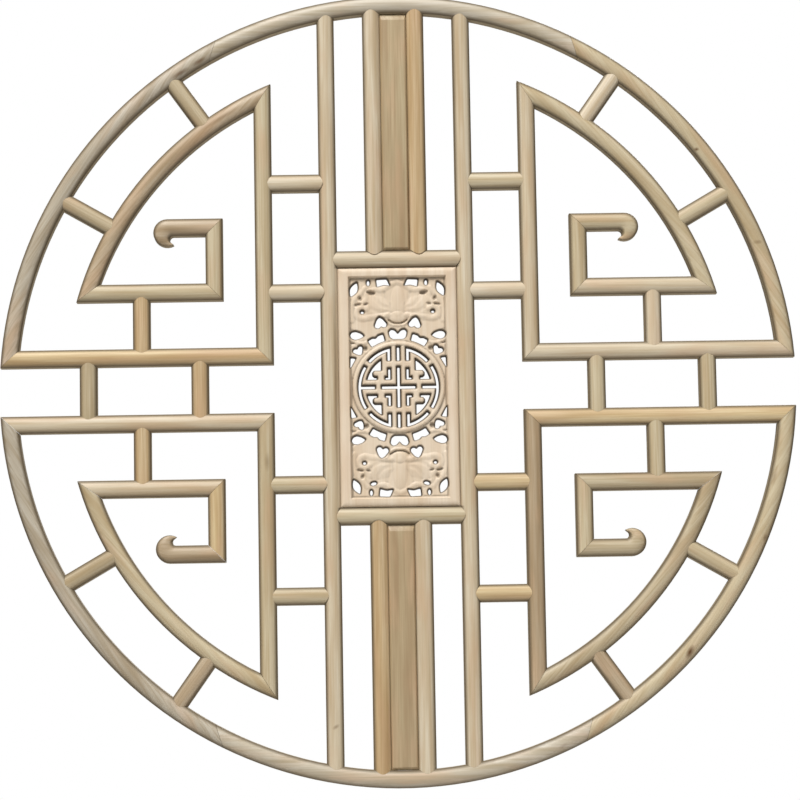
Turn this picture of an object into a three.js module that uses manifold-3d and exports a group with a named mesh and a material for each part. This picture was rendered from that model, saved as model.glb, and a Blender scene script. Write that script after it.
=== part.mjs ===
// Round fretwork grille in unfinished pale wood, with a pierced bat and long-life plaque.
// Millimetres, +Z up. The face looks along -Y and the backs of the sticks lie on the plane y = 0.
// The origin is on the back of the rim at top dead centre, where the grille hangs.

import * as THREE from 'three';
import { mergeVertices } from 'three/addons/utils/BufferGeometryUtils.js';
import Module from 'manifold-3d';

const wasm = await Module();
wasm.setup();

// Sticks
const OUTER_DIAMETER = 1000;
const BAR_WIDTH = 22;
const BAR_DEPTH = 20;
const BAR_RISE = 6; // height of the rounded face above the straight sides
const COPE_DROP = 0.4; // a stick that butts on another is this much lower
const JOINT_GAP = 0.3;
const DOME_FACETS = 6;

// Centre lines of the sticks that frame the plaque, the panels and the waist, from the middle
const UPRIGHT_X = 86;
const PANEL_STILE_X = 28;
const LONG_RAIL_Z = 41.5;
const PLAQUE_RAIL_Z = 162;

// Centre lines of the fret pattern, which fills the rim: shares of the radius to the rim's middle
const STILE_SHARE = 0.3421;
const KEY_SHARE = 0.4697;
const WAIST_STRUT_INNER_SHARE = 0.5092;
const WAIST_STRUT_OUTER_SHARE = 0.7951;
const KEY_STRUT_SHARE = 0.6579;
const KEY_RAIL_SHARE = 0.2526;
const HOOK_RAIL_SHARE = 0.4213;
const SIDE_TIE_NEAR_SHARE = 0.2479;
const SIDE_TIE_FAR_SHARE = 0.5331;

// Rim and inner arcs, with angles in degrees
const ARC_BAY = 59; // clear space between the rim and an inner arc
const ARC_TIE_NEAR_ANGLE = 30; // above the waist
const ARC_TIE_FAR_ANGLE = 54.5;
const RIM_JOINT_ANGLE = 28; // from the vertical through the middle
const ARC_STEP = 5; // between the facets of a round stick

// Curl at the end of each hook
const CURL_REACH = 76.5; // from the key's centre line to the far side of the curl
const CURL_RADIUS = 17.5;
const CURL_BITE_RADIUS = 4.7; // hollow between the curl's tip and the stick
const CURL_TIP_ANGLE = 118; // how far past the curl's far side the outside runs

// Raised panels between their stiles
const PANEL_BACK = 4;
const PANEL_FACE = 16;
const PANEL_BEVEL = 3;
const PANEL_END_GAP = 1.5;

// Carved plaque
const PLAQUE_BACK = 3;
const PLAQUE_FIELD = 13;
const PLAQUE_FACE = 17;
const BORDER_SIDE = 13;
const BORDER_END = 12;
const BORDER_ROUNDING = 2.5;
const MEDALLION_RADIUS = 57.5;
const MEDALLION_RING = 6;
const MEDALLION_RISE = 1.4; // of the fret inside the ring, above the field
const RING_RISE = 2.6;
const RING_EDGE = 1;
const FRET_EDGE = 0.5;
const FRET_SLOT = 5; // width of the slots that cross at the middle
const FRET_STICK = 6.8; // width of the wood left between the slots
const FRET_ARC_STICK = 5.1; // the same for the round stick inside the ring
const FRET_TIE = 7; // length of the bridges across the slots
const FRET_HEAD_SLOT = 18.5; // length of the slots above and below the cross
const FRET_SIDE_SLOT = 22.5; // length of the slots beside the cross
const FRET_BRIDGE_ANGLE = 37; // of the bridges to the ring, in degrees above the level
const FRET_NOOK = 4.5; // width of the slot in the corner beside the cross
const FRET_NOOK_FOOT = 8; // length of that slot's foot
const FRET_NOOK_WALL = 9; // wood between that slot and the one above it
const FRET_FOOT = 4; // height of the same foot, and of the slot below the hook
const FRET_HOOK = 7.5; // thickness of the small hook
const FRET_HOOK_BAY = 3.7; // slot between the hook and the round stick
const FRET_HOOK_ROUNDING = 2;
const RING_SIDES = 36;
const BAT_HALF_SPAN = 58;
const BAT_LENGTH = 52; // from the nose, near the medallion, to the tail
const BAT_NOSE_Z = 74;
const BAT_RISE = 2.4;
const BAT_EDGE = 1;
const HEAD_RISE = 3.4;
const BODY_RISE = 3.8;

const STICK_WOOD = { color: '#c9b08a', roughness: 0.75, metalness: 0 };
const PANEL_WOOD = { color: '#b99c78', roughness: 0.75, metalness: 0 };
const PLAQUE_WOOD = { color: '#e2cdb0', roughness: 0.7, metalness: 0 };

// Derived sizes
const HALF = BAR_WIDTH / 2;
const SHOULDER = BAR_DEPTH - BAR_RISE;
const RIM_OUTER = OUTER_DIAMETER / 2;
const RIM_INNER = RIM_OUTER - BAR_WIDTH;
const RIM_MIDDLE = RIM_OUTER - HALF;
const ARC_OUTER = RIM_INNER - ARC_BAY;
const ARC_INNER = ARC_OUTER - BAR_WIDTH;
const ARC_MIDDLE = ARC_OUTER - HALF;
const MITRE_SETBACK = JOINT_GAP * 0.75;

const STILE_X = STILE_SHARE * RIM_MIDDLE;
const KEY_X = KEY_SHARE * RIM_MIDDLE;
const WAIST_STRUT_INNER_X = WAIST_STRUT_INNER_SHARE * RIM_MIDDLE;
const WAIST_STRUT_OUTER_X = WAIST_STRUT_OUTER_SHARE * RIM_MIDDLE;
const KEY_STRUT_X = KEY_STRUT_SHARE * RIM_MIDDLE;
const KEY_RAIL_Z = KEY_RAIL_SHARE * RIM_MIDDLE;
const HOOK_RAIL_Z = HOOK_RAIL_SHARE * RIM_MIDDLE;
const SIDE_TIE_NEAR_Z = SIDE_TIE_NEAR_SHARE * RIM_MIDDLE;
const SIDE_TIE_FAR_Z = SIDE_TIE_FAR_SHARE * RIM_MIDDLE;

const point = (x, y) => new THREE.Vector2(x, y);
const centre = point(0, 0);
const polar = (radius, degrees) => point(radius, 0).rotateAround(centre, THREE.MathUtils.degToRad(degrees));
const besideOn = (radius, side) => Math.sqrt(radius * radius - side * side);
const turnOf = (place) => THREE.MathUtils.radToDeg(place.angle());
const turnFor = (length, radius) => THREE.MathUtils.radToDeg(length / radius);

// Solids from closed triangle meshes, and back

function signedVolume(positions, index) {
  const corner = (i) => new THREE.Vector3().fromArray(positions, 3 * index[i]);
  let six = 0;
  for (let i = 0; i < index.length; i += 3) {
    six += corner(i).dot(corner(i + 1).cross(corner(i + 2)));
  }
  return six / 6;
}

function turnFacesOver(index) {
  const turned = Uint32Array.from(index);
  for (let i = 0; i < turned.length; i += 3) {
    turned[i] = index[i + 1];
    turned[i + 1] = index[i];
  }
  return turned;
}

function solidFrom(positions, index) {
  const inward = signedVolume(positions, index) < 0;
  const triVerts = inward ? turnFacesOver(index) : Uint32Array.from(index);
  const mesh = new wasm.Mesh({ numProp: 3, vertProperties: Float32Array.from(positions), triVerts });
  return new wasm.Manifold(mesh);
}

function solidFromGeometry(source) {
  source.deleteAttribute('normal');
  source.deleteAttribute('uv');
  const merged = mergeVertices(source, 1e-4);
  return solidFrom(merged.attributes.position.array, merged.index.array);
}

function geometryFrom(solid) {
  const mesh = solid.getMesh();
  const geometry = new THREE.BufferGeometry();
  geometry.setAttribute('position', new THREE.BufferAttribute(mesh.vertProperties, 3));
  geometry.setIndex(new THREE.BufferAttribute(mesh.triVerts, 1));
  return geometry;
}

// Sticks: flat back, straight sides, rounded face. A stick is lofted between its two edge lines.
// Each end lies on the line between the two edges' end points, so a mitre is only a pair of points.

function domedStick([outer, inner], { grow = 0, drop = 0 } = {}) {
  const fullTurn = 2 * Math.atan(BAR_RISE / HALF);
  const ring = DOME_FACETS + 3;
  const positions = [];
  const index = [];
  outer.forEach((outerPoint, station) => {
    const innerPoint = inner[station];
    const share = Math.min(1, outerPoint.distanceTo(innerPoint) / BAR_WIDTH);
    positions.push(outerPoint.x, outerPoint.y, -grow, innerPoint.x, innerPoint.y, -grow);
    for (let k = 0; k <= DOME_FACETS; k += 1) {
      const turn = fullTurn * ((2 * k) / DOME_FACETS - 1);
      const over = (1 + Math.sin(turn) / Math.sin(fullTurn)) / 2;
      const lift = (Math.cos(turn) - Math.cos(fullTurn)) / (1 - Math.cos(fullTurn));
      const place = innerPoint.clone().lerp(outerPoint, over);
      positions.push(place.x, place.y, SHOULDER - drop + grow + BAR_RISE * share * lift);
    }
  });
  for (let station = 0; station + 1 < outer.length; station += 1) {
    for (let k = 0; k < ring; k += 1) {
      const here = station * ring + k;
      const beside = station * ring + ((k + 1) % ring);
      index.push(here, beside, beside + ring, here, beside + ring, here + ring);
    }
  }
  const last = (outer.length - 1) * ring;
  for (let k = 1; k + 1 < ring; k += 1) {
    index.push(0, k + 1, k, last, last + k, last + k + 1);
  }
  return solidFrom(positions, index);
}

function straightEdges(from, to, half = HALF) {
  const side = to.clone().sub(from).rotateAround(centre, Math.PI / 2).setLength(half);
  return [
    [from.clone().add(side), to.clone().add(side)],
    [from.clone().sub(side), to.clone().sub(side)],
  ];
}

// Edges of a round stick, whose ends are [outer, inner] angles, counted anticlockwise
function roundEdges(outerRadius, innerRadius, start, end) {
  const margin = ARC_STEP / 5;
  const turns = [];
  for (let turn = 0; turn < 360; turn += ARC_STEP) {
    if (turn > Math.max(...start) + margin && turn < Math.min(...end) - margin) turns.push(turn);
  }
  return [
    [start[0], ...turns, end[0]].map((turn) => polar(outerRadius, turn)),
    [start[1], ...turns, end[1]].map((turn) => polar(innerRadius, turn)),
  ];
}

// What a stick is cut back with: its neighbour, larger by the joint gap all round

function straightCutter(from, to) {
  return domedStick(straightEdges(from, to, HALF + JOINT_GAP), { grow: JOINT_GAP });
}

function roundCutter(middle, start, end) {
  const reach = HALF + JOINT_GAP;
  const edges = roundEdges(middle + reach, middle - reach, [start, start], [end, end]);
  return domedStick(edges, { grow: JOINT_GAP });
}

function copedStick(from, to, ...neighbours) {
  const plain = domedStick(straightEdges(from, to), { drop: COPE_DROP });
  return neighbours.reduce((stick, neighbour) => stick.subtract(neighbour), plain);
}

const rimCutter = roundCutter(RIM_MIDDLE, 0, 180);
const lowerRimCutter = roundCutter(RIM_MIDDLE, 180, 360);
const arcCutter = roundCutter(ARC_MIDDLE, 0, 90);
const longRailCutter = straightCutter(point(0, LONG_RAIL_Z), point(RIM_OUTER, LONG_RAIL_Z));
const lowerRailCutter = straightCutter(point(0, -LONG_RAIL_Z), point(RIM_OUTER, -LONG_RAIL_Z));
const keyRailCutter = straightCutter(point(KEY_X, KEY_RAIL_Z), point(RIM_OUTER, KEY_RAIL_Z));
const stileCutter = straightCutter(point(STILE_X, 0), point(STILE_X, RIM_OUTER));
const uprightCutter = straightCutter(point(UPRIGHT_X, -RIM_OUTER), point(UPRIGHT_X, RIM_OUTER));
const leftUprightCutter = straightCutter(point(-UPRIGHT_X, -RIM_OUTER), point(-UPRIGHT_X, RIM_OUTER));
const plaqueRailCutter = straightCutter(point(-UPRIGHT_X, PLAQUE_RAIL_Z), point(UPRIGHT_X, PLAQUE_RAIL_Z));

// Corners of the fret in the upper right quarter: [outside, inside] of each mitre

const rimCorner = [
  point(besideOn(RIM_OUTER, LONG_RAIL_Z - HALF), LONG_RAIL_Z - HALF),
  point(besideOn(RIM_INNER, LONG_RAIL_Z + HALF), LONG_RAIL_Z + HALF),
];
const waistCorner = [
  point(STILE_X - HALF, LONG_RAIL_Z - HALF),
  point(STILE_X + HALF, LONG_RAIL_Z + HALF),
];
const cuspCorner = [
  point(STILE_X - HALF, besideOn(ARC_OUTER, STILE_X - HALF)),
  point(STILE_X + HALF, besideOn(ARC_INNER, STILE_X + HALF)),
];
const arcCorner = [
  point(besideOn(ARC_OUTER, KEY_RAIL_Z - HALF), KEY_RAIL_Z - HALF),
  point(besideOn(ARC_INNER, KEY_RAIL_Z + HALF), KEY_RAIL_Z + HALF),
];
const keyCorner = [
  point(KEY_X - HALF, KEY_RAIL_Z - HALF),
  point(KEY_X + HALF, KEY_RAIL_Z + HALF),
];
const hookCorner = [
  point(KEY_X - HALF, HOOK_RAIL_Z + HALF),
  point(KEY_X + HALF, HOOK_RAIL_Z - HALF),
];

// A straight stick from one mitred corner to another, set back a little at both
function mitredStick(from, to) {
  const along = to[0].clone().sub(from[0]).setLength(MITRE_SETBACK);
  return domedStick([
    [from[0].clone().add(along), to[0].clone().sub(along)],
    [from[1].clone().add(along), to[1].clone().sub(along)],
  ]);
}

function innerArc() {
  const back = turnFor(MITRE_SETBACK, ARC_MIDDLE);
  const start = arcCorner.map((place) => turnOf(place) + back);
  const end = cuspCorner.map((place) => turnOf(place) - back);
  return domedStick(roundEdges(ARC_OUTER, ARC_INNER, start, end));
}

// Upright of the key and the rail that ends in a curl, as one solid
function keyHook() {
  const up = point(0, MITRE_SETBACK);
  const top = HOOK_RAIL_Z + HALF;
  const curl = point(KEY_X + CURL_REACH - CURL_RADIUS, top - CURL_RADIUS);
  const bite = point(curl.x - 1.7 * CURL_BITE_RADIUS, top - BAR_WIDTH - CURL_BITE_RADIUS);
  const outer = [keyCorner[0].clone().add(up), hookCorner[0]];
  const inner = [keyCorner[1].clone().add(up), hookCorner[1]];
  const steps = 8;
  for (let step = 0; step <= steps; step += 1) {
    const share = step / steps;
    outer.push(polar(CURL_RADIUS, 90 - share * (90 + CURL_TIP_ANGLE)).add(curl));
    inner.push(polar(CURL_BITE_RADIUS, 90 - share * 150).add(bite));
  }
  return domedStick([outer, inner]);
}

// Rim, in arcs that meet at slanting scarf joints

const rimEnd = rimCorner.map((place) => turnOf(place) + turnFor(MITRE_SETBACK, RIM_MIDDLE));
const acrossTheMiddle = (end) => end.map((turn) => 180 - turn);

function scarfEnd(side) {
  const slant = turnFor(HALF, RIM_MIDDLE);
  const gap = side * turnFor(JOINT_GAP * Math.SQRT1_2, RIM_MIDDLE);
  return [90 - RIM_JOINT_ANGLE + slant + gap, 90 - RIM_JOINT_ANGLE - slant + gap];
}

const rimArc = (start, end) => domedStick(roundEdges(RIM_OUTER, RIM_INNER, start, end));
const rimShoulder = rimArc(rimEnd, scarfEnd(-1));
const rimCrown = rimArc(scarfEnd(1), acrossTheMiddle(scarfEnd(1)));
const rimSweep = rimArc(scarfEnd(1), acrossTheMiddle(rimEnd));

// Raised panel between the rim and the plaque's rail
function raisedPanel() {
  const halfWidth = PANEL_STILE_X - HALF - JOINT_GAP;
  const foot = PLAQUE_RAIL_Z + HALF + PANEL_END_GAP;
  const head = besideOn(RIM_INNER, halfWidth) - PANEL_END_GAP;
  const outline = new THREE.Shape();
  outline.moveTo(-halfWidth, foot);
  outline.lineTo(halfWidth, foot);
  outline.lineTo(halfWidth, head);
  outline.lineTo(-halfWidth, head);
  outline.closePath();
  const board = new THREE.ExtrudeGeometry(outline, {
    depth: PANEL_FACE - PANEL_BACK - 2 * PANEL_BEVEL,
    bevelThickness: PANEL_BEVEL,
    bevelSize: PANEL_BEVEL,
    bevelOffset: -PANEL_BEVEL,
    bevelSegments: 1,
  });
  return solidFromGeometry(board.translate(0, 0, PANEL_BACK + PANEL_BEVEL));
}

// Plaque: outlines of the carving, in the plaque's own plane

const PLAQUE_HALF_WIDTH = UPRIGHT_X - HALF - JOINT_GAP;
const PLAQUE_HALF_HEIGHT = PLAQUE_RAIL_Z - HALF - JOINT_GAP;
const FIELD_HALF_WIDTH = PLAQUE_HALF_WIDTH - BORDER_SIDE;
const FIELD_HALF_HEIGHT = PLAQUE_HALF_HEIGHT - BORDER_END;

function placed(points, x, y, degrees = 0) {
  const turn = THREE.MathUtils.degToRad(degrees);
  return points.map((place) => place.clone().rotateAround(centre, turn).add(point(x, y)));
}

function flipped(points, signX, signY) {
  return points.map((place) => point(place.x * signX, place.y * signY));
}

function rectangle(halfWidth, halfHeight) {
  return [
    point(-halfWidth, -halfHeight),
    point(halfWidth, -halfHeight),
    point(halfWidth, halfHeight),
    point(-halfWidth, halfHeight),
  ];
}

function oval(wide, tall, sides = 8) {
  return Array.from({ length: sides }, (_, k) => {
    const turn = (k + 0.5) * ((2 * Math.PI) / sides);
    return point((Math.cos(turn) * wide) / 2, (Math.sin(turn) * tall) / 2);
  });
}

// Pointed leaf: two bows that meet at both ends
function leaf(long, wide, sides = 4) {
  const bow = (side) =>
    Array.from({ length: sides }, (_, k) => {
      const share = k / sides;
      return point(side * (0.5 - share) * long, (side * Math.sin(Math.PI * share) * wide) / 2);
    });
  return [...bow(-1), ...bow(1)];
}

// Drop that points to the left
function drop(long, wide) {
  const outline = [
    [-0.5, 0.08],
    [-0.22, -0.3],
    [0.1, -0.5],
    [0.36, -0.38],
    [0.5, 0],
    [0.4, 0.36],
    [0.12, 0.5],
    [-0.24, 0.38],
  ];
  return outline.map(([x, y]) => point(x * long, y * wide));
}

// Rounded triangle with a dent in its base, point up
function dentedTriangle(wide, tall) {
  const rightHalf = [
    [0.15, -0.5],
    [0.4, -0.46],
    [0.5, -0.2],
    [0.24, 0.3],
  ];
  const right = rightHalf.map(([x, y]) => point(x * wide, y * tall));
  const left = flipped(right, -1, 1).reverse();
  return [point(0, -0.34 * tall), ...right, point(0, 0.5 * tall), ...left];
}

function arcPoints(radius, from, to, sides) {
  return Array.from({ length: sides + 1 }, (_, k) => polar(radius, from + ((to - from) * k) / sides));
}

// Slot that follows the medallion's ring, with a dent in its outer side
function dentedSlot(inner, from, to) {
  const outer = inner + 0.165;
  const middle = (from + to) / 2;
  const dent = [polar(outer, middle - 3), polar(outer - 0.035, middle), polar(outer, middle + 3)];
  return [polar(outer, from), ...dent, polar(outer, to), ...arcPoints(inner, to, from, 3)];
}

function slab(outline, from, to, holes = []) {
  const shape = new THREE.Shape(outline);
  shape.holes = holes.map((hole) => new THREE.Path(hole));
  const plate = new THREE.ExtrudeGeometry(shape, { depth: to - from, bevelEnabled: false });
  return solidFromGeometry(plate.translate(0, 0, from));
}

// A raised form that starts inside the wood below it, with a slanting edge all round
function raisedForm(outline, top, slant, holes = []) {
  const shape = new THREE.Shape(outline);
  shape.holes = holes.map((hole) => new THREE.Path(hole));
  const form = new THREE.ExtrudeGeometry(shape, {
    depth: top - PLAQUE_BACK - 3 * slant,
    bevelThickness: slant,
    bevelSize: slant,
    bevelOffset: -slant,
    bevelSegments: 1,
  });
  return solidFromGeometry(form.translate(0, 0, PLAQUE_BACK + 2 * slant));
}

// Rounded lump on the field, half sunk in it
function lump(x, y, wide, tall, rise) {
  const ball = new THREE.SphereGeometry(1, 12, 8).scale(wide / 2, tall / 2, rise);
  return solidFromGeometry(ball.translate(x, y, PLAQUE_FIELD));
}

// Openings of one quarter between the border and the medallion. Their sizes and places are shares of
// the field's half width, counted from the field's end, from the wing or outward from the medallion.

const grown = (outline, scale) => outline.map((place) => place.clone().multiplyScalar(scale));
const ofField = (outlines) => outlines.map((outline) => grown(outline, FIELD_HALF_WIDTH));

function placedAround(points, outward, turn, degrees) {
  const place = polar(MEDALLION_RADIUS / FIELD_HALF_WIDTH + outward, turn);
  return placed(points, place.x, place.y, degrees);
}

function cloudOpenings() {
  const end = FIELD_HALF_HEIGHT / FIELD_HALF_WIDTH;
  const wing = (BAT_NOSE_Z + 0.41 * BAT_LENGTH) / FIELD_HALF_WIDTH;
  const wedge = [point(-0.07, 0.07), point(0.06, -0.15), point(0.06, 0.09)];
  const block = [
    point(-0.15, -0.07),
    point(-0.01, -0.05),
    point(0.13, -0.09),
    point(0.15, 0.08),
    point(-0.08, 0.09),
  ];
  return ofField([
    placed(leaf(0.31, 0.145), 0.9, end - 0.26, 116),
    placed(oval(0.08, 0.13), 0.62, end - 0.15),
    placed(block, 0.31, end - 0.13),
    placed(oval(0.105, 0.09), 0.75, wing),
    placedAround(dentedTriangle(0.275, 0.245), 0.45, 75.1, -10),
    placedAround(drop(0.31, 0.19), 0.42, 52, 8),
    placedAround(dentedTriangle(0.24, 0.19), 0.163, 43, 150),
    placedAround(wedge, 0.135, 30.3, 0),
    dentedSlot(MEDALLION_RADIUS / FIELD_HALF_WIDTH + 0.05, 57, 75),
  ]);
}

// Small opening under each wing, only at the lower end
function curlOpening() {
  return ofField([placed(oval(0.14, 0.085), 0.54, FIELD_HALF_HEIGHT / FIELD_HALF_WIDTH - 0.31, 12)])[0];
}

// Notched opening on the centre line, above the medallion
function bowOpening() {
  const foot = MEDALLION_RADIUS / FIELD_HALF_WIDTH + 0.05;
  const half = [
    point(0.17, foot + 0.05),
    point(0.195, foot + 0.16),
    point(0.14, foot + 0.22),
    point(0.06, foot + 0.2),
  ];
  const left = flipped(half, -1, 1).reverse();
  return ofField([[point(0.11, foot), ...half, point(0, foot + 0.13), ...left, point(-0.11, foot)]])[0];
}

// Sizes that the medallion's slots share. The fret in it is a small copy of the grille.
const DISC_RADIUS = MEDALLION_RADIUS - MEDALLION_RING;
const SLOT_RADIUS = DISC_RADIUS - FRET_SLOT;
const LEG_INNER = FRET_SLOT / 2 + FRET_STICK;
const LEG_FOOT = DISC_RADIUS - FRET_HEAD_SLOT;
const BRIDGE_BELOW = FRET_BRIDGE_ANGLE - turnFor(FRET_TIE / 2, DISC_RADIUS);
const BRIDGE_ABOVE = FRET_BRIDGE_ANGLE + turnFor(FRET_TIE / 2, DISC_RADIUS);

// Slots of one quarter of the medallion
function fretOpenings() {
  const arcEdge = SLOT_RADIUS - FRET_ARC_STICK;
  const legOuter = LEG_INNER + FRET_SLOT;
  const wall = legOuter + FRET_STICK;
  const floor = LEG_INNER;
  const onCircle = (radius, x) => THREE.MathUtils.radToDeg(Math.acos(x / radius));
  const bottom = floor + FRET_FOOT;
  const top = bottom + FRET_HOOK;
  const end = besideOn(arcEdge, top) - FRET_HOOK_BAY;
  const root = (wall + end) / 2;
  const legSlot = [
    point(legOuter, LEG_FOOT),
    ...arcPoints(SLOT_RADIUS, onCircle(SLOT_RADIUS, legOuter), BRIDGE_ABOVE, 3),
    ...arcPoints(DISC_RADIUS, BRIDGE_ABOVE, onCircle(DISC_RADIUS, LEG_INNER), 4),
    point(LEG_INNER, LEG_FOOT),
  ];
  const hookSlot = [
    ...arcPoints(arcEdge, onCircle(arcEdge, wall), 90 - onCircle(arcEdge, floor), 4),
    point(root, floor),
    point(root, bottom),
    point(end - FRET_HOOK_ROUNDING, bottom),
    point(end, bottom + FRET_HOOK_ROUNDING),
    point(end, top - FRET_HOOK_ROUNDING),
    point(end - FRET_HOOK_ROUNDING, top),
    point(wall, top),
  ];
  const nook = [
    point(LEG_INNER, floor),
    point(LEG_INNER + FRET_NOOK_FOOT, floor),
    point(LEG_INNER + FRET_NOOK_FOOT, bottom),
    point(LEG_INNER + FRET_NOOK, bottom),
    point(LEG_INNER + FRET_NOOK, LEG_FOOT - FRET_NOOK_WALL),
    point(LEG_INNER, LEG_FOOT - FRET_NOOK_WALL),
  ];
  return [legSlot, hookSlot, nook];
}

// Slots on the medallion's two centre lines
function crossOpenings() {
  const half = FRET_SLOT / 2;
  const sideFoot = DISC_RADIUS - FRET_SIDE_SLOT;
  const lip = THREE.MathUtils.radToDeg(Math.asin(half / SLOT_RADIUS));
  const crossTop = LEG_FOOT - FRET_TIE;
  const crossEnd = sideFoot - FRET_TIE;
  const cross = [point(half, half), point(half, crossTop), point(-half, crossTop), point(-half, half)];
  const arm = [point(-crossEnd, half), point(-crossEnd, -half)];
  const side = [
    ...arcPoints(DISC_RADIUS, -BRIDGE_BELOW, BRIDGE_BELOW, 8),
    ...arcPoints(SLOT_RADIUS, BRIDGE_BELOW, lip, 3),
    point(sideFoot, half),
    point(sideFoot, -half),
    ...arcPoints(SLOT_RADIUS, -lip, -BRIDGE_BELOW, 3),
  ];
  const head = [
    point(half, LEG_FOOT),
    point(half, DISC_RADIUS),
    point(-half, DISC_RADIUS),
    point(-half, LEG_FOOT),
  ];
  return [
    [...cross, ...arm, ...flipped(cross, -1, -1), ...flipped(arm, -1, -1)],
    side,
    flipped(side, -1, 1).reverse(),
    head,
    flipped(head, 1, -1).reverse(),
  ];
}

// Bat seen from above with its wings spread, as one raised outline: shares of half span and length
function batOutline() {
  const rightWing = [
    [0.12, 0.16],
    [0.18, 0.26],
    [0.3, 0.33],
    [0.45, 0.32],
    [0.62, 0.24],
    [0.8, 0.2],
    [0.94, 0.26],
    [1, 0.42],
    [0.97, 0.58],
    [0.88, 0.66],
    [0.78, 0.63],
    [0.72, 0.7],
    [0.65, 0.8],
    [0.55, 0.82],
    [0.46, 0.75],
    [0.4, 0.83],
    [0.3, 0.88],
    [0.2, 0.81],
    [0.13, 0.86],
    [0.07, 0.96],
  ];
  const right = rightWing.map(([x, y]) => point(x * BAT_HALF_SPAN, BAT_NOSE_Z + y * BAT_LENGTH));
  const tail = point(0, BAT_NOSE_Z + BAT_LENGTH);
  return [point(0, BAT_NOSE_Z + 0.1 * BAT_LENGTH), ...right, tail, ...flipped(right, -1, 1).reverse()];
}

function carvedPlaque() {
  const outside = rectangle(PLAQUE_HALF_WIDTH, PLAQUE_HALF_HEIGHT);
  const inside = rectangle(FIELD_HALF_WIDTH, FIELD_HALF_HEIGHT).reverse();
  const lastTurn = 360 - 360 / RING_SIDES;
  const disc = arcPoints(MEDALLION_RADIUS, 0, lastTurn, RING_SIDES - 1);
  const ringInside = arcPoints(DISC_RADIUS, lastTurn, 0, RING_SIDES - 1);
  const parts = [
    slab(outside, PLAQUE_BACK, PLAQUE_FIELD),
    raisedForm(outside, PLAQUE_FACE, BORDER_ROUNDING, [inside]),
    raisedForm(disc, PLAQUE_FIELD + MEDALLION_RISE, FRET_EDGE),
    raisedForm(disc, PLAQUE_FIELD + RING_RISE, RING_EDGE, [ringInside]),
  ];
  const cuts = crossOpenings();
  for (const sign of [1, -1]) {
    const body = BAT_NOSE_Z + 0.5 * BAT_LENGTH;
    const head = BAT_NOSE_Z + 0.12 * BAT_LENGTH;
    parts.push(raisedForm(flipped(batOutline(), 1, sign), PLAQUE_FIELD + BAT_RISE, BAT_EDGE));
    parts.push(lump(0, sign * body, 0.26 * BAT_HALF_SPAN, 0.75 * BAT_LENGTH, BODY_RISE));
    parts.push(lump(0, sign * head, 0.3 * BAT_HALF_SPAN, 0.27 * BAT_LENGTH, HEAD_RISE));
    cuts.push(flipped(bowOpening(), 1, sign));
    for (const side of [1, -1]) {
      cuts.push(...[...cloudOpenings(), ...fretOpenings()].map((outline) => flipped(outline, side, sign)));
    }
  }
  cuts.push(flipped(curlOpening(), 1, -1), flipped(curlOpening(), -1, -1));
  const whole = parts.reduce((plaque, part) => plaque.add(part));
  return cuts.reduce((plaque, cut) => plaque.subtract(slab(cut, 0, BAR_DEPTH)), whole);
}

// Assembly

const grille = new THREE.Group();
grille.name = 'fretwork_grille';
grille.rotation.x = Math.PI / 2;
grille.position.z = -RIM_MIDDLE;

function add(name, geometry, wood = STICK_WOOD) {
  const mesh = new THREE.Mesh(geometry, new THREE.MeshStandardMaterial(wood));
  mesh.name = name;
  grille.add(mesh);
}

// Copy of a piece of the upper right quarter, in the quarter that the signs give
function inQuarter(solid, signX, signY) {
  const geometry = geometryFrom(solid).scale(signX, signY, 1);
  if (signX * signY < 0) {
    geometry.setIndex(new THREE.BufferAttribute(turnFacesOver(geometry.index.array), 1));
  }
  return geometry;
}

const quarters = [
  ['top_right', 1, 1],
  ['top_left', -1, 1],
  ['bottom_left', -1, -1],
  ['bottom_right', 1, -1],
];

const arcTie = (turn) => copedStick(polar(ARC_MIDDLE, turn), polar(RIM_MIDDLE, turn), rimCutter, arcCutter);
const sideTie = (height) =>
  copedStick(point(UPRIGHT_X, height), point(STILE_X, height), uprightCutter, stileCutter);
const quarterPieces = {
  long_rail: mitredStick(rimCorner, waistCorner),
  stile: mitredStick(waistCorner, cuspCorner),
  inner_arc: innerArc(),
  key_rail: mitredStick(arcCorner, keyCorner),
  key_hook: keyHook(),
  key_strut: copedStick(
    point(KEY_STRUT_X, LONG_RAIL_Z),
    point(KEY_STRUT_X, KEY_RAIL_Z),
    longRailCutter,
    keyRailCutter,
  ),
  arc_tie_near: arcTie(ARC_TIE_NEAR_ANGLE),
  arc_tie_far: arcTie(ARC_TIE_FAR_ANGLE),
  side_tie_near: sideTie(SIDE_TIE_NEAR_Z),
  side_tie_far: sideTie(SIDE_TIE_FAR_Z),
};

for (const [quarter, signX, signY] of quarters) {
  for (const [piece, solid] of Object.entries(quarterPieces)) {
    add(`${quarter}_${piece}`, inQuarter(solid, signX, signY));
  }
}

add('rim_top_right', inQuarter(rimShoulder, 1, 1));
add('rim_top_left', inQuarter(rimShoulder, -1, 1));
add('rim_top_centre', inQuarter(rimCrown, 1, 1));
add('rim_bottom_right', inQuarter(rimShoulder, 1, -1));
add('rim_bottom_left', inQuarter(rimSweep, 1, -1));

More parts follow.
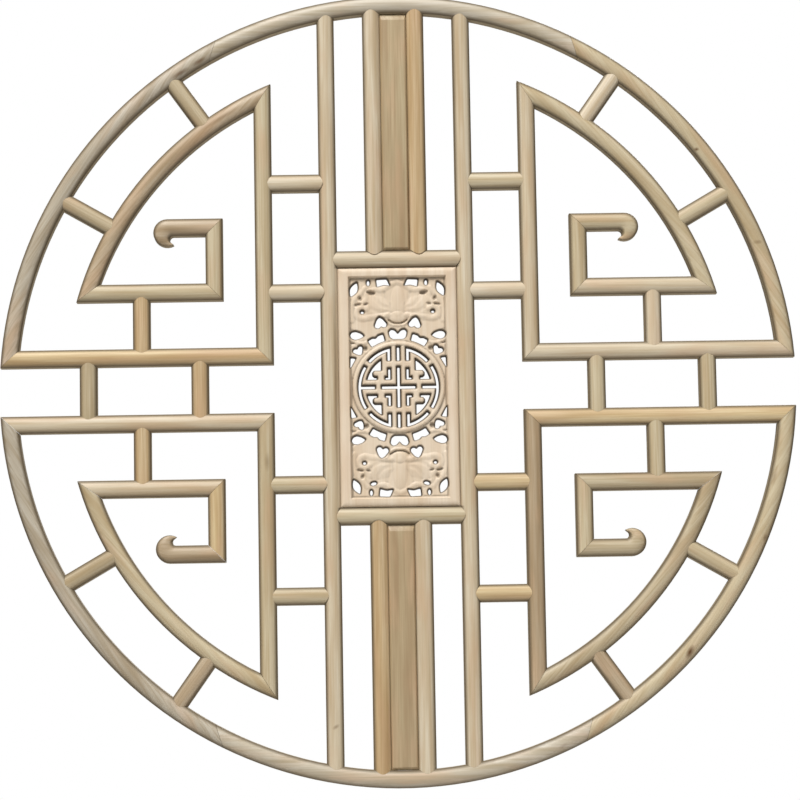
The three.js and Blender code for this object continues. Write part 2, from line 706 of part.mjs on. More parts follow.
const waistStrut = (x) =>
  copedStick(point(x, -LONG_RAIL_Z), point(x, LONG_RAIL_Z), longRailCutter, lowerRailCutter);
const upright = copedStick(
  point(UPRIGHT_X, -besideOn(RIM_MIDDLE, UPRIGHT_X)),
  point(UPRIGHT_X, besideOn(RIM_MIDDLE, UPRIGHT_X)),
  rimCutter,
  lowerRimCutter,
);
const panelStile = copedStick(
  point(PANEL_STILE_X, PLAQUE_RAIL_Z),
  point(PANEL_STILE_X, besideOn(RIM_MIDDLE, PANEL_STILE_X)),
  rimCutter,
  plaqueRailCutter,
);
const plaqueRail = copedStick(
  point(-UPRIGHT_X, PLAQUE_RAIL_Z),
  point(UPRIGHT_X, PLAQUE_RAIL_Z),
  uprightCutter,
  leftUprightCutter,
);
const panel = raisedPanel();

for (const [side, sign] of [['right', 1], ['left', -1]]) {
  add(`${side}_waist_strut_inner`, inQuarter(waistStrut(WAIST_STRUT_INNER_X), sign, 1));
  add(`${side}_waist_strut_outer`, inQuarter(waistStrut(WAIST_STRUT_OUTER_X), sign, 1));
  add(`${side}_upright`, inQuarter(upright, sign, 1));
}

for (const [end, sign] of [['top', 1], ['bottom', -1]]) {
  add(`plaque_rail_${end}`, inQuarter(plaqueRail, 1, sign));
  add(`${end}_panel_stile_right`, inQuarter(panelStile, 1, sign));
  add(`${end}_panel_stile_left`, inQuarter(panelStile, -1, sign));
  add(`${end}_panel`, inQuarter(panel, 1, sign), PANEL_WOOD);
}

const plaque = carvedPlaque();
add('carved_plaque', inQuarter(plaque, 1, 1), PLAQUE_WOOD);

export default grille;
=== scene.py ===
import math

import bpy
import bmesh
import numpy as np
from mathutils import Matrix, Vector


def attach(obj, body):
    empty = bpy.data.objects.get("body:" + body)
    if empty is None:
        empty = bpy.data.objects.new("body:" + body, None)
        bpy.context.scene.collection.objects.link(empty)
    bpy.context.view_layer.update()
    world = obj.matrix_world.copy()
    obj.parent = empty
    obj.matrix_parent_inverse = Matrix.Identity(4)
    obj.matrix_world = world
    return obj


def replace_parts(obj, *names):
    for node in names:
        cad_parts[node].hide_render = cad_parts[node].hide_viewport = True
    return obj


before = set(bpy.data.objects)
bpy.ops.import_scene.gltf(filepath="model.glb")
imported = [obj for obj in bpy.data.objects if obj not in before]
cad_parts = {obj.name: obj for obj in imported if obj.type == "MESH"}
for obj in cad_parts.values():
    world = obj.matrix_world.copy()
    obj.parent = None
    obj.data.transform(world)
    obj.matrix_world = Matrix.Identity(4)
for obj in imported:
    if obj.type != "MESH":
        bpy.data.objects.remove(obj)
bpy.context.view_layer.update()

# Sizes in millimetres and angles in degrees. The lattice has the sizes of the part's source.

MM = 0.001
BAR_WIDTH = 22
BAR_DEPTH = 20
BAR_RISE = 6
RIM_OUTER = 500
ARC_BAY = 59
UPRIGHT_X = 86
PANEL_STILE_X = 28
LONG_RAIL_Z = 41.5
PLAQUE_RAIL_Z = 162
ARC_TIE_NEAR_ANGLE = 30
ARC_TIE_FAR_ANGLE = 54.5
RIM_JOINT_ANGLE = 28

HALF = BAR_WIDTH / 2
SHOULDER = BAR_DEPTH - BAR_RISE
RIM_INNER = RIM_OUTER - BAR_WIDTH
RIM_MIDDLE = RIM_OUTER - HALF
ARC_OUTER = RIM_INNER - ARC_BAY
ARC_INNER = ARC_OUTER - BAR_WIDTH
ARC_MIDDLE = ARC_OUTER - HALF
STILE_X = 0.3421 * RIM_MIDDLE
KEY_X = 0.4697 * RIM_MIDDLE
WAIST_STRUT_INNER_X = 0.5092 * RIM_MIDDLE
WAIST_STRUT_OUTER_X = 0.7951 * RIM_MIDDLE
KEY_STRUT_X = 0.6579 * RIM_MIDDLE
KEY_RAIL_Z = 0.2526 * RIM_MIDDLE
HOOK_RAIL_Z = 0.4213 * RIM_MIDDLE
SIDE_TIE_NEAR_Z = 0.2479 * RIM_MIDDLE
SIDE_TIE_FAR_Z = 0.5331 * RIM_MIDDLE

# Joints, and where the bent sticks end before they are mitred
COPE_DROP = 1.2
COPE_GAP = 0.12
MITRE_GAP = 0.3
SNUG_GAP = 0.05
INNER_ARC_FROM, INNER_ARC_TO = 17.6, 65.8
SHOULDER_FROM = 4.9
SPARE_TURN = 5

# A dowel of this radius, planed flat at the back and sides, has the stick's section
DOME_RADIUS = (HALF**2 + BAR_RISE**2) / (2 * BAR_RISE)
DOME_CENTRE = BAR_DEPTH - DOME_RADIUS
DOWEL_SIDES = 72
SPIN_STEP = 2
ARRIS = 0.7
ARRIS_FACETS = 3
ARRIS_ANGLE = 25
WELD = 0.02

# The curl at a hooked rail's end: its outer bow, and the bite under it
CURL_REACH = 76.5
CURL_RADIUS = 17.5
CURL_TIP_ANGLE = 118
CURL_BITE_RADIUS = 4.7
CURL_BITE_OFFSET = 1.7 * CURL_BITE_RADIUS
CURL_BITE_TURN = 150
CURL_STEPS = 16

PANEL_BACK = 4
PANEL_FACE = 16
PANEL_SIDE_CHAMFER = 2.4
PANEL_UPPER_CHAMFER = 8.5
PANEL_LOWER_CHAMFER = 3.4
PANEL_CHAMFER_DEPTH = 4
PANEL_ARRIS = 0.5

# Plaque: its board, its border and its openings, which the saw leaves narrower at the back
PLAQUE_HALF_WIDTH = UPRIGHT_X - HALF - SNUG_GAP
PLAQUE_HALF_HEIGHT = PLAQUE_RAIL_Z - HALF - SNUG_GAP
PLAQUE_BACK = 3
PLAQUE_FIELD = 12.6
PLAQUE_FACE = 17
BORDER_SIDE = 13
BORDER_END = 10.4
BORDER_ROUNDING = 7
BORDER_DROP = 4.2
# The solid plaque stands this far off the sticks, and the field is drawn from its edge
SOLID_GAP = 0.3
FIELD_HALF_WIDTH = UPRIGHT_X - HALF - SOLID_GAP - BORDER_SIDE
FIELD_HALF_HEIGHT = PLAQUE_RAIL_Z - HALF - SOLID_GAP - BORDER_END
SLOPE_WIDTH = 2.2
SLOPE_OVERLAP = 0.2
TAPER = 0.9
FRET_TAPER = 1.35
TAPER_START = 11
EASED = 1.6
FRET_EASED = 0.9
CARVING_STEP = 0.85

# Medallion, with the fret in it
MEDALLION_RADIUS = 57.5
MEDALLION_RING = 6
MEDALLION_RISE = 1.8
MEDALLION_DROP = 1
RING_RISE = 2.6
RING_DROP = 0.4
RING_SPREAD = 0.6
FRET_SLOT = 5
FRET_STICK = 6.8
FRET_ARC_STICK = 5.1
FRET_ROUNDING = 3.2
FRET_TIE = 7
FRET_HEAD_SLOT = 18.5
FRET_SIDE_SLOT = 22.5
FRET_BRIDGE_ANGLE = 37
FRET_NOOK = 4.5
FRET_NOOK_FOOT = 8
FRET_NOOK_WALL = 9
FRET_FOOT = 4
FRET_HOOK = 7.5
FRET_HOOK_BAY = 3.7
FRET_HOOK_ROUNDING = 2
BAT_NOSE_Z = 74
BAT_LENGTH = 52
DISC_RADIUS = MEDALLION_RADIUS - MEDALLION_RING
SLOT_RADIUS = DISC_RADIUS - FRET_SLOT
LEG_INNER = FRET_SLOT / 2 + FRET_STICK
LEG_FOOT = DISC_RADIUS - FRET_HEAD_SLOT
BRIDGE_HALF = math.degrees(FRET_TIE / 2 / DISC_RADIUS)
BRIDGE_BELOW = FRET_BRIDGE_ANGLE - BRIDGE_HALF
BRIDGE_ABOVE = FRET_BRIDGE_ANGLE + BRIDGE_HALF

# Painted shade: where a stick darkens, as a share of the way from its middle line to its arris, and what
# share a side that stands snug against its neighbour and the foot of a panel's chamfer have
EDGE_STARTS = 0.6
EDGE_FULL = 0.9
SIDE_SHADE_STARTS = 0.96
SNUG_SHARE = 0.74
CHAMFER_SHARE = 0.86

# The knife's rounding beside an opening, and the painted shade on its walls and round it
KNIFE_EDGE = 1.7
KNIFE_DROP = 1.3
OPENING_SHADE_REACH = 1.7
OPENING_SHADE_AT_EDGE = 1.15
WALL_REACH = 1.2 * FRET_TAPER
WALL_TOP = TAPER_START - 0.5
# What counts as a hollow of the carving, and how dark its painted shade is, in the field and beside the
# border
HOLLOW_LEAST = 0.08
HOLLOW_GAIN = 1.5
PIT_STARTS = 0.7
PIT_RANGE = 1.3
CARVED_ABOVE = TAPER_START - 3
HOLLOW_SHADE = 0.75
BORDER_SHADE = 0.45
BORDER_REACH = 2.5

MIDDLE = Vector((0, 0, -RIM_MIDDLE * MM))


def spot(x, z, height=0.0):
    """Point of the lattice plane, in metres, from millimetres out of the middle of the grille."""
    return MIDDLE + Vector((x, -height, z)) * MM


def polar(radius, degrees):
    turn = math.radians(degrees)
    return radius * math.cos(turn), radius * math.sin(turn)


def beside_on(radius, side):
    return math.sqrt(radius * radius - side * side)


def square_to(line):
    """Direction in the lattice plane that is square to a line."""
    return Vector((line.z, 0, -line.x)).normalized()


# Modelling by hand: one piece is selected, and an edit is one operator


def only(piece):
    bpy.ops.object.select_all(action="DESELECT")
    piece.select_set(True)
    bpy.context.view_layer.objects.active = piece


def edit_all(piece):
    only(piece)
    bpy.ops.object.mode_set(mode="EDIT")
    bpy.ops.mesh.select_all(action="SELECT")


def done():
    bpy.ops.object.mode_set(mode="OBJECT")


def settled(name):
    """The new primitive, named, with its place in its mesh."""
    bpy.ops.object.transform_apply(location=True, rotation=True, scale=True)
    piece = bpy.context.object
    piece.name = name
    piece.data.name = name
    return piece


def plane_off(piece, place, outward, fill=True):
    """Planes away what stands past a flat face."""
    edit_all(piece)
    bpy.ops.mesh.bisect(plane_co=place, plane_no=outward, use_fill=fill, clear_outer=True)
    done()


def plane_dowel(piece, place, side, grow, fill=True):
    """Planes a dowel flat at both sides and at the back."""
    for way in (side, -side):
        plane_off(piece, place + way * (HALF + grow) * MM, way, fill)
    plane_off(piece, Vector((0, grow * MM, 0)), Vector((0, 1, 0)), fill)


def weld(piece):
    """Joins points that a cut or an eased edge left all but together."""
    edit_all(piece)
    bpy.ops.mesh.remove_doubles(threshold=WELD * MM)
    done()


def soften(piece, width):
    weld(piece)
    only(piece)
    bpy.ops.object.modifier_add(type="BEVEL")
    sanded = piece.modifiers[-1]
    sanded.width = width * MM
    sanded.segments = ARRIS_FACETS
    sanded.limit_method = "ANGLE"
    sanded.angle_limit = math.radians(ARRIS_ANGLE)
    bpy.ops.object.modifier_apply(modifier=sanded.name)
    weld(piece)


def planed_stick(name, start, end, grow=0.0, drop=0.0):
    """Straight stick between two [x, z] points."""
    start, end = spot(*start), spot(*end)
    along = end - start
    bpy.ops.object.select_all(action="DESELECT")
    bpy.ops.mesh.primitive_cylinder_add(
        vertices=DOWEL_SIDES,
        radius=(DOME_RADIUS + grow) * MM,
        depth=along.length,
        location=(start + end) / 2 - Vector((0, (DOME_CENTRE - drop) * MM, 0)),
        rotation=(0, math.atan2(along.x, along.z), 0),
    )
    piece = settled(name)
    plane_dowel(piece, start, square_to(along), grow)
    if not grow:
        soften(piece, ARRIS)
    grain_along(piece, start, along)
    return piece


def bent_stick(name, radius, start, end, grow=0.0):
    """Round stick about the middle of the grille, from one angle to another, sawn from a board."""
    x, z = polar(radius, start)
    bpy.ops.object.select_all(action="DESELECT")
    bpy.ops.mesh.primitive_circle_add(
        vertices=DOWEL_SIDES,
        radius=(DOME_RADIUS + grow) * MM,
        fill_type="NGON",
        location=spot(x, z, DOME_CENTRE),
        rotation=(0, -math.radians(start), 0),
    )
    piece = settled(name)
    plane_dowel(piece, spot(x, z), Vector((x, 0, z)).normalized(), grow, fill=False)
    edit_all(piece)
    bpy.ops.mesh.spin(
        steps=max(4, round((end - start) / SPIN_STEP)),
        angle=math.radians(end - start),
        center=MIDDLE,
        axis=(0, 1, 0),
    )
    bpy.ops.mesh.select_all(action="SELECT")
    bpy.ops.mesh.remove_doubles(threshold=WELD / 2 * MM)
    bpy.ops.mesh.normals_make_consistent(inside=False)
    done()
    if not grow:
        soften(piece, ARRIS)
    return piece


def mitre(piece, corner, inside):
    """Cuts an end along the line between a corner's [outside, inside] points, and keeps the side
    of `inside`."""
    outer, inner = spot(*corner[0]), spot(*corner[1])
    away = square_to(inner - outer)
    if (spot(*inside) - outer).dot(away) > 0:
        away.negate()
    plane_off(piece, outer - away * MITRE_GAP / 2 * MM, away)
    edit_all(piece)
    bpy.ops.mesh.fill_holes(sides=0)
    done()


def cope(piece, *neighbours):
    """Scribes the ends to the sticks that they butt on."""
    for neighbour in neighbours:
        only(piece)
        bpy.ops.object.modifier_add(type="BOOLEAN")
        scribed = piece.modifiers[-1]
        scribed.operation = "DIFFERENCE"
        scribed.solver = "EXACT"
        scribed.object = neighbour
        bpy.ops.object.modifier_apply(modifier=scribed.name)


# What the wood's pattern follows: the way of the grain in metres, and how far a point is from the
# middle line of its stick, from 0 to 1 at the arris, which sets the painted shade at the edges


def write_grain(piece, values):
    layer = piece.data.attributes.new("grain", "FLOAT_VECTOR", "POINT")
    layer.data.foreach_set("vector", np.asarray(values, np.float32).ravel())


def write_share(piece, share, snug=None):
    """How far each face's corners are from the middle line, which sets the painted shade at the edges. The
    back is plain, and a side that stands snug against its neighbour has a softer painted shade."""
    points = np.empty(len(piece.data.loops), np.int32)
    piece.data.loops.foreach_get("vertex_index", points)
    values = np.asarray(share, np.float32)[points]
    for face in piece.data.polygons:
        span = slice(face.loop_start, face.loop_start + face.loop_total)
        if face.normal.y > 0.99:
            values[span] = 0
        elif snug and snug(face.center):
            values[span] *= SNUG_SHARE
    layer = piece.data.attributes.new("from_middle", "FLOAT", "CORNER")
    layer.data.foreach_set("value", values)


def corners_of(piece):
    found = np.empty(len(piece.data.vertices) * 3, np.float32)
    piece.data.vertices.foreach_get("co", found)
    return found.reshape(-1, 3)


def grain_along(piece, start, along):
    piece["grain_start"] = tuple(start)
    piece["grain_way"] = tuple(along.normalized())
    piece["bent_radius"] = 0.0


def grain_on_chord(piece, radius, start, end):
    """A bent stick's grain runs straight through it, along the middle of its arc."""
    middle = (start + end) / 2
    piece["grain_start"] = tuple(spot(*polar(radius, middle)))
    turn = math.radians(middle)
    piece["grain_way"] = (-math.sin(turn), 0.0, math.cos(turn))
    piece["bent_radius"] = radius * MM


def lay_grain(piece, shift, snug=None):
    places = corners_of(piece)
    way = np.array(piece["grain_way"])
    side = np.array([way[2], 0, -way[0]])
    rest = places - np.array(piece["grain_start"])
    across = rest @ side
    write_grain(piece, np.stack([rest @ way, across, -places[:, 1]], axis=1) + np.array(shift))
    if "from_middle" in piece.data.attributes:
        return
    if piece["bent_radius"]:
        across = np.hypot(places[:, 0] - MIDDLE.x, places[:, 2] - MIDDLE.z) - piece["bent_radius"]
    write_share(piece, np.abs(across) / (HALF * MM), snug)


def smooth(piece, angle=26):
    only(piece)
    bpy.ops.object.shade_smooth_by_angle(angle=math.radians(angle))


# Wood

WARM_CAST = "#d3ae8a"
KNOT_AND_SHADE = "#6b4a26"

# Knots and stained places on the sticks, and one painted shade: lattice x, z, half length and half width in
# millimetres, the way they lie in degrees, and strength
MARKS = [
    (356, -338, 10, 4.4, 62, 1.0),
    (454, -197, 6, 2.6, 66, 0.55),
    (468, -121, 14, 3, 75, 0.35),
    (196, -451, 7, 3, 25, 0.3),
    (382, 296, 3.6, 2.6, 0, 0.85),
    (456, 176, 6, 3, 0, 0.45),
    (-270, 403, 13, 3.2, 34, 0.75),
    (-246, 418, 11, 3, 31, 0.7),
    (-218, 345, 30, 3, 32, 0.4),
    (-85, -423, 5, 2.6, 35, 0.5),
    # Painted shade on the left upright's side, beside the plaque
    (-79, 10, 150, 2.4, 90, 0.5),
    (-166, -93, 12, 4, 90, 0.35),
]


def linear(code):
    """Linear colour of an sRGB hex value."""
    shares = [int(code[k : k + 2], 16) / 255 for k in (1, 3, 5)]
    return [c / 12.92 if c <= 0.04045 else ((c + 0.055) / 1.055) ** 2.4 for c in shares] + [1.0]


def add(tree, kind, sockets=(), **settings):
    """Adds a node, sets its properties and named sockets, and gives each of `sockets` its value or link."""
    node = tree.nodes.new(kind)
    for name, value in settings.items():
        if hasattr(node, name):
            setattr(node, name, value)
        else:
            node.inputs[name.replace("_", " ")].default_value = value
    for socket, source in sockets:
        if isinstance(source, bpy.types.NodeSocket):
            tree.links.new(source, node.inputs[socket])
        else:
            node.inputs[socket].default_value = source
    return node


def wood(name, pale, mid, dark, edge="#6b5d47", side="#b3a284", growth=9.0, figure=1.0):
    """Planed and sanded softwood with no finish: a satin sheen on the round faces, soft bands of early
    and late wood that run along the stick, a warm cast here and there, fine fibres, and painted shade
    in the colours `edge` on the arrises and `side` on the sides. `growth` is the width in millimetres
    of a growth band, and `figure` says how strong the figure is."""
    made = bpy.data.materials.new(name)
    made.use_nodes = True
    tree = made.node_tree
    shader = tree.nodes["Principled BSDF"]
    shader.inputs["Roughness"].default_value = 0.5
    shader.inputs["IOR"].default_value = 1.45
    shader.inputs["Specular IOR Level"].default_value = 0.5
    way = add(tree, "ShaderNodeAttribute", attribute_name="grain").outputs["Vector"]
    coats = []

    # Noise drawn out along the grain: where it starts, length and width in millimetres, detail,
    # roughness, distortion, the range of the noise that shows, strength and colour. These are bands of
    # growth, darker patches, warm casts, streaks and fibres, and the fibres, last, are raised too.
    here, elsewhere = (0, 0, 0), (0.7, 0.2, 0.4)
    figures = [
        (here, 30 * growth, growth, 4, 0.55, 0.35, 0.36, 0.66, 1, mid),
        (here, 170, 12, 2, 0.5, 0, 0.45, 0.72, 0.9 * figure, dark),
        (elsewhere, 90, 22, 2, 0.5, 0, 0.5, 0.7, 0.5 * figure, WARM_CAST),
        (here, 120, 2.6, 3, 0.5, 0, 0.46, 0.68, 0.6 * figure, dark),
        (here, 40, 0.9, 3, 0.6, 0, 0.35, 0.7, 0.35 * figure, dark),
    ]
    for start, long, wide, detail, rough, bent, lowest, highest, strength, tone in figures:
        stretch = (1 / (long * MM), 1 / (wide * MM), 1 / (wide * MM))
        laid = add(tree, "ShaderNodeMapping", [("Vector", way)], Location=start, Scale=stretch)
        noise = add(
            tree,
            "ShaderNodeTexNoise",
            [("Vector", laid.outputs[0])],
            Scale=1.0,
            Detail=detail,
            Roughness=rough,
            Distortion=bent,
        ).outputs[0]
        coats.append((noise, lowest, highest, 0, strength, tone))

    place = add(tree, "ShaderNodeTexCoord").outputs["Object"]
    for x, z, long, wide, turn, strength in MARKS:
        laid = add(
            tree,
            "ShaderNodeMapping",
            [("Vector", place)],
            vector_type="TEXTURE",
            Location=spot(x, z),
            Rotation=(0, -math.radians(turn), 0),
            Scale=(long * MM, 1, wide * MM),
        )
        far = add(tree, "ShaderNodeVectorMath", [(0, laid.outputs[0])], operation="LENGTH")
        coats.append((far.outputs["Value"], 0.2, 1.1, strength, 0, KNOT_AND_SHADE))

    # Painted shade: darker towards the arrises in the edge colour, and on the sides in the side colour
    painted_edge_shade = add(tree, "ShaderNodeAttribute", attribute_name="from_middle").outputs["Fac"]
    coats.append((painted_edge_shade, EDGE_STARTS, EDGE_FULL, 0, 0.95, edge))
    coats.append((painted_edge_shade, SIDE_SHADE_STARTS, 1, 0, 0.8, side))

    colour = linear(pale)
    for source, lowest, highest, first, last, tone in coats:
        share = add(
            tree,
            "ShaderNodeMapRange",
            [("Value", source)],
            From_Min=lowest,
            From_Max=highest,
            To_Min=first,
            To_Max=last,
        )
        sockets = [(0, share.outputs[0]), (6, colour), (7, linear(tone))]
        colour = add(tree, "ShaderNodeMix", sockets, data_type="RGBA").outputs[2]
    tree.links.new(colour, shader.inputs["Base Color"])
    raised = add(tree, "ShaderNodeBump", [("Height", noise)], Strength=0.25, Distance=0.2 * MM)
    tree.links.new(raised.outputs[0], shader.inputs["Normal"])
    return made


# Pine of nine tones: pale, middle and dark
PINE = {
    "khaki": "#d9ccae #cfbf9d #b8a17a",
    "cream": "#e2d6be #d8c8aa #c1a985",
    "tan": "#dcc6a0 #d0b386 #b59468",
    "pale": "#ece2cd #e3d5ba #cdb795",
    "honey": "#e3cfa6 #dbc292 #c0a072",
    "ash": "#d9d0bf #cdc1ab #b1a184",
    "dun": "#cfc1a3 #c4b291 #ab9570",
    "rose": "#cdbca1 #bfa98a #a38a68",
    "grey": "#cfc6b5 #c1b6a1 #a39175",
}
TONES = {tone: wood(f"planed_pine_{tone}", *shades.split()) for tone, shades in PINE.items()}
PANEL_WOOD = wood("sawn_pine_panel", "#c9b995", "#b9a37f", "#a78c69", growth=14.0)
# Basswood has hardly any figure, and its dark edge colour is painted shade round the openings, on their
# walls and in the hollows of the carving
PLAQUE_WOOD = wood(
    "carved_basswood",
    "#f0dfc8",
    "#e9d5bb",
    "#d8bf9e",
    edge="#54442f",
    side="#54442f",
    growth=16.0,
    figure=0.55,
)

# What the sticks of the upper right quarter are cut back with

STRAIGHT_CUTS = {
    "long_rail": ((0, LONG_RAIL_Z), (RIM_OUTER, LONG_RAIL_Z)),
    "lower_rail": ((0, -LONG_RAIL_Z), (RIM_OUTER, -LONG_RAIL_Z)),
    "key_rail": ((KEY_X, KEY_RAIL_Z), (RIM_OUTER, KEY_RAIL_Z)),
    "stile": ((STILE_X, 0), (STILE_X, RIM_OUTER)),
    "upright": ((UPRIGHT_X, -RIM_OUTER), (UPRIGHT_X, RIM_OUTER)),
    "left_upright": ((-UPRIGHT_X, -RIM_OUTER), (-UPRIGHT_X, RIM_OUTER)),
    "plaque_rail": ((-UPRIGHT_X, PLAQUE_RAIL_Z), (UPRIGHT_X, PLAQUE_RAIL_Z)),
}
BENT_CUTS = {
    "rim": (RIM_MIDDLE, 0, 180),
    "lower_rim": (RIM_MIDDLE, 180, 360),
    "arc": (ARC_MIDDLE, 0, 90),
}
cutters = {key: planed_stick(f"cut_{key}", *ends, COPE_GAP) for key, ends in STRAIGHT_CUTS.items()}
for key, run in BENT_CUTS.items():
    cutters[key] = bent_stick(f"cut_{key}", *run, COPE_GAP)

# The [outside, inside] points of each corner and of the rim's slanting joint

rim_corner = [
    (beside_on(RIM_OUTER, LONG_RAIL_Z - HALF), LONG_RAIL_Z - HALF),
    (beside_on(RIM_INNER, LONG_RAIL_Z + HALF), LONG_RAIL_Z + HALF),
]
cusp_corner = [
    (STILE_X - HALF, beside_on(ARC_OUTER, STILE_X - HALF)),
    (STILE_X + HALF, beside_on(ARC_INNER, STILE_X + HALF)),
]
arc_corner = [
    (beside_on(ARC_OUTER, KEY_RAIL_Z - HALF), KEY_RAIL_Z - HALF),
    (beside_on(ARC_INNER, KEY_RAIL_Z + HALF), KEY_RAIL_Z + HALF),
]
waist_corner = [(STILE_X - HALF, LONG_RAIL_Z - HALF), (STILE_X + HALF, LONG_RAIL_Z + HALF)]
key_corner = [(KEY_X - HALF, KEY_RAIL_Z - HALF), (KEY_X + HALF, KEY_RAIL_Z + HALF)]
hook_corner = [(KEY_X - HALF, HOOK_RAIL_Z + HALF), (KEY_X + HALF, HOOK_RAIL_Z - HALF)]
joint_turn, joint_slant = 90 - RIM_JOINT_ANGLE, math.degrees(HALF / RIM_MIDDLE)
rim_joint = [polar(RIM_OUTER, joint_turn + joint_slant), polar(RIM_INNER, joint_turn - joint_slant)]
left_rim_joint = [(-x, z) for x, z in rim_joint]


def mitred_stick(name, run, first, second):
    """Straight stick whose centre line runs between two points, mitred at both ends."""
    (x0, z0), (x1, z1) = run
    reach = 2 * BAR_WIDTH / math.hypot(x1 - x0, z1 - z0)
    start = (x0 + (x0 - x1) * reach, z0 + (z0 - z1) * reach)
    end = (x1 + (x1 - x0) * reach, z1 + (z1 - z0) * reach)
    middle = ((x0 + x1) / 2, (z0 + z1) / 2)
    piece = planed_stick(name, start, end)
    mitre(piece, first, middle)
    mitre(piece, second, middle)
    return piece


def mitred_arc(name, radius, start, end, first, second):
    piece = bent_stick(name, radius, start - SPARE_TURN, end + SPARE_TURN)
    middle = polar(radius, (start + end) / 2)
    mitre(piece, first, middle)
    mitre(piece, second, middle)
    grain_on_chord(piece, radius, start, end)
    return piece


def coped_stick(name, start, end, *neighbours):
    piece = planed_stick(name, start, end, drop=COPE_DROP)
    cope(piece, *[cutters[key] for key in neighbours])
    return piece


def hooked_rail(name):
    """Rail whose free end is drawn on round the curl, a little narrower at each step."""
    top = HOOK_RAIL_Z + HALF
    curl = Vector((KEY_X + CURL_REACH - CURL_RADIUS, top - CURL_RADIUS))
    bite = Vector((curl.x - CURL_BITE_OFFSET, top - BAR_WIDTH - CURL_BITE_RADIUS))
    lines = []
    for step in range(CURL_STEPS + 1):
        share = step / CURL_STEPS
        outer = curl + Vector(polar(CURL_RADIUS, 90 - share * (90 + CURL_TIP_ANGLE)))
        inner = bite + Vector(polar(CURL_BITE_RADIUS, 90 - share * CURL_BITE_TURN))
        lines.append((spot(*outer), spot(*inner)))
    piece = planed_stick(name, (KEY_X - 2 * BAR_WIDTH, HOOK_RAIL_Z), (curl.x + BAR_WIDTH, HOOK_RAIL_Z))
    mitre(piece, hook_corner, (curl.x, HOOK_RAIL_Z))
    away = square_to(lines[0][0] - lines[0][1])
    if away.x < 0:
        away.negate()
    plane_off(piece, lines[0][0], away)
    only(piece)
    bpy.ops.object.mode_set(mode="EDIT")
    bpy.ops.mesh.select_mode(type="FACE")
    bpy.ops.mesh.select_all(action="DESELECT")
    shape = bmesh.from_edit_mesh(piece.data)
    for face in shape.faces:
        if face.normal.dot(away) > 0.999:
            face.select = True
    bmesh.update_edit_mesh(piece.data)
    for (was_outer, was_inner), (outer, inner) in zip(lines[:-1], lines[1:]):
        bpy.ops.mesh.extrude_region_move()
        shape = bmesh.from_edit_mesh(piece.data)
        was_line, line = was_outer - was_inner, outer - inner
        narrower = min(line.length / was_line.length, 1)
        for corner in shape.verts:
            if corner.select:
                over = (corner.co - was_inner).dot(was_line) / was_line.length_squared
                height = -corner.co.y
                if height > SHOULDER * MM:
                    height = SHOULDER * MM + (height - SHOULDER * MM) * narrower
                corner.co = inner + line * over + Vector((0, -height, 0))
        bmesh.update_edit_mesh(piece.data)
    done()
    weld(piece)
    # How far each point is from the rail's middle line, or across the curl, which sets its painted edge
    # shade
    share = [abs(v.co.z - spot(0, HOOK_RAIL_Z).z) / (HALF * MM) for v in piece.data.vertices]
    for outer, inner in lines:
        line = outer - inner
        square = square_to(line)
        for v in piece.data.vertices:
            over = (v.co - inner).dot(line) / line.length_squared
            if abs((v.co - inner).dot(square)) < WELD / 2 * MM and -0.1 < over < 1.1:
                share[v.index] = abs(2 * over - 1)
    write_share(piece, share)
    return piece


# One of each stick: its run and its corners, or its run and the sticks that it butts on

STRAIGHT = {
    "long_rail": (((STILE_X, LONG_RAIL_Z), (RIM_MIDDLE, LONG_RAIL_Z)), waist_corner, rim_corner),
    "stile": (
        ((STILE_X, LONG_RAIL_Z), (STILE_X, beside_on(ARC_MIDDLE, STILE_X))),
        waist_corner,
        cusp_corner,
    ),
    "key_rail": (
        ((KEY_X, KEY_RAIL_Z), (beside_on(ARC_MIDDLE, KEY_RAIL_Z), KEY_RAIL_Z)),
        key_corner,
        arc_corner,
    ),
    "key_upright": (((KEY_X, KEY_RAIL_Z), (KEY_X, HOOK_RAIL_Z)), key_corner, hook_corner),
}
BENT = {
    "inner_arc": (ARC_MIDDLE, INNER_ARC_FROM, INNER_ARC_TO, arc_corner, cusp_corner),
    "rim_shoulder": (RIM_MIDDLE, SHOULDER_FROM, joint_turn, rim_corner, rim_joint),
    "rim_crown": (RIM_MIDDLE, joint_turn, 180 - joint_turn, rim_joint, left_rim_joint),
}
COPED = {
    "key_strut": ((KEY_STRUT_X, LONG_RAIL_Z), (KEY_STRUT_X, KEY_RAIL_Z), "long_rail", "key_rail"),
    "side_tie_near": ((UPRIGHT_X, SIDE_TIE_NEAR_Z), (STILE_X, SIDE_TIE_NEAR_Z), "upright", "stile"),
    "side_tie_far": ((UPRIGHT_X, SIDE_TIE_FAR_Z), (STILE_X, SIDE_TIE_FAR_Z), "upright", "stile"),
    "upright": (
        (UPRIGHT_X, -beside_on(RIM_MIDDLE, UPRIGHT_X)),
        (UPRIGHT_X, beside_on(RIM_MIDDLE, UPRIGHT_X)),
        "rim",
        "lower_rim",
    ),
    "panel_stile": (
        (PANEL_STILE_X, PLAQUE_RAIL_Z),
        (PANEL_STILE_X, beside_on(RIM_MIDDLE, PANEL_STILE_X)),
        "rim",
        "plaque_rail",
    ),
    "plaque_rail": (
        (-UPRIGHT_X, PLAQUE_RAIL_Z),
        (UPRIGHT_X, PLAQUE_RAIL_Z),
        "upright",
        "left_upright",
    ),
}
for side, x in (("inner", WAIST_STRUT_INNER_X), ("outer", WAIST_STRUT_OUTER_X)):
    COPED[f"waist_strut_{side}"] = ((x, -LONG_RAIL_Z), (x, LONG_RAIL_Z), "long_rail", "lower_rail")
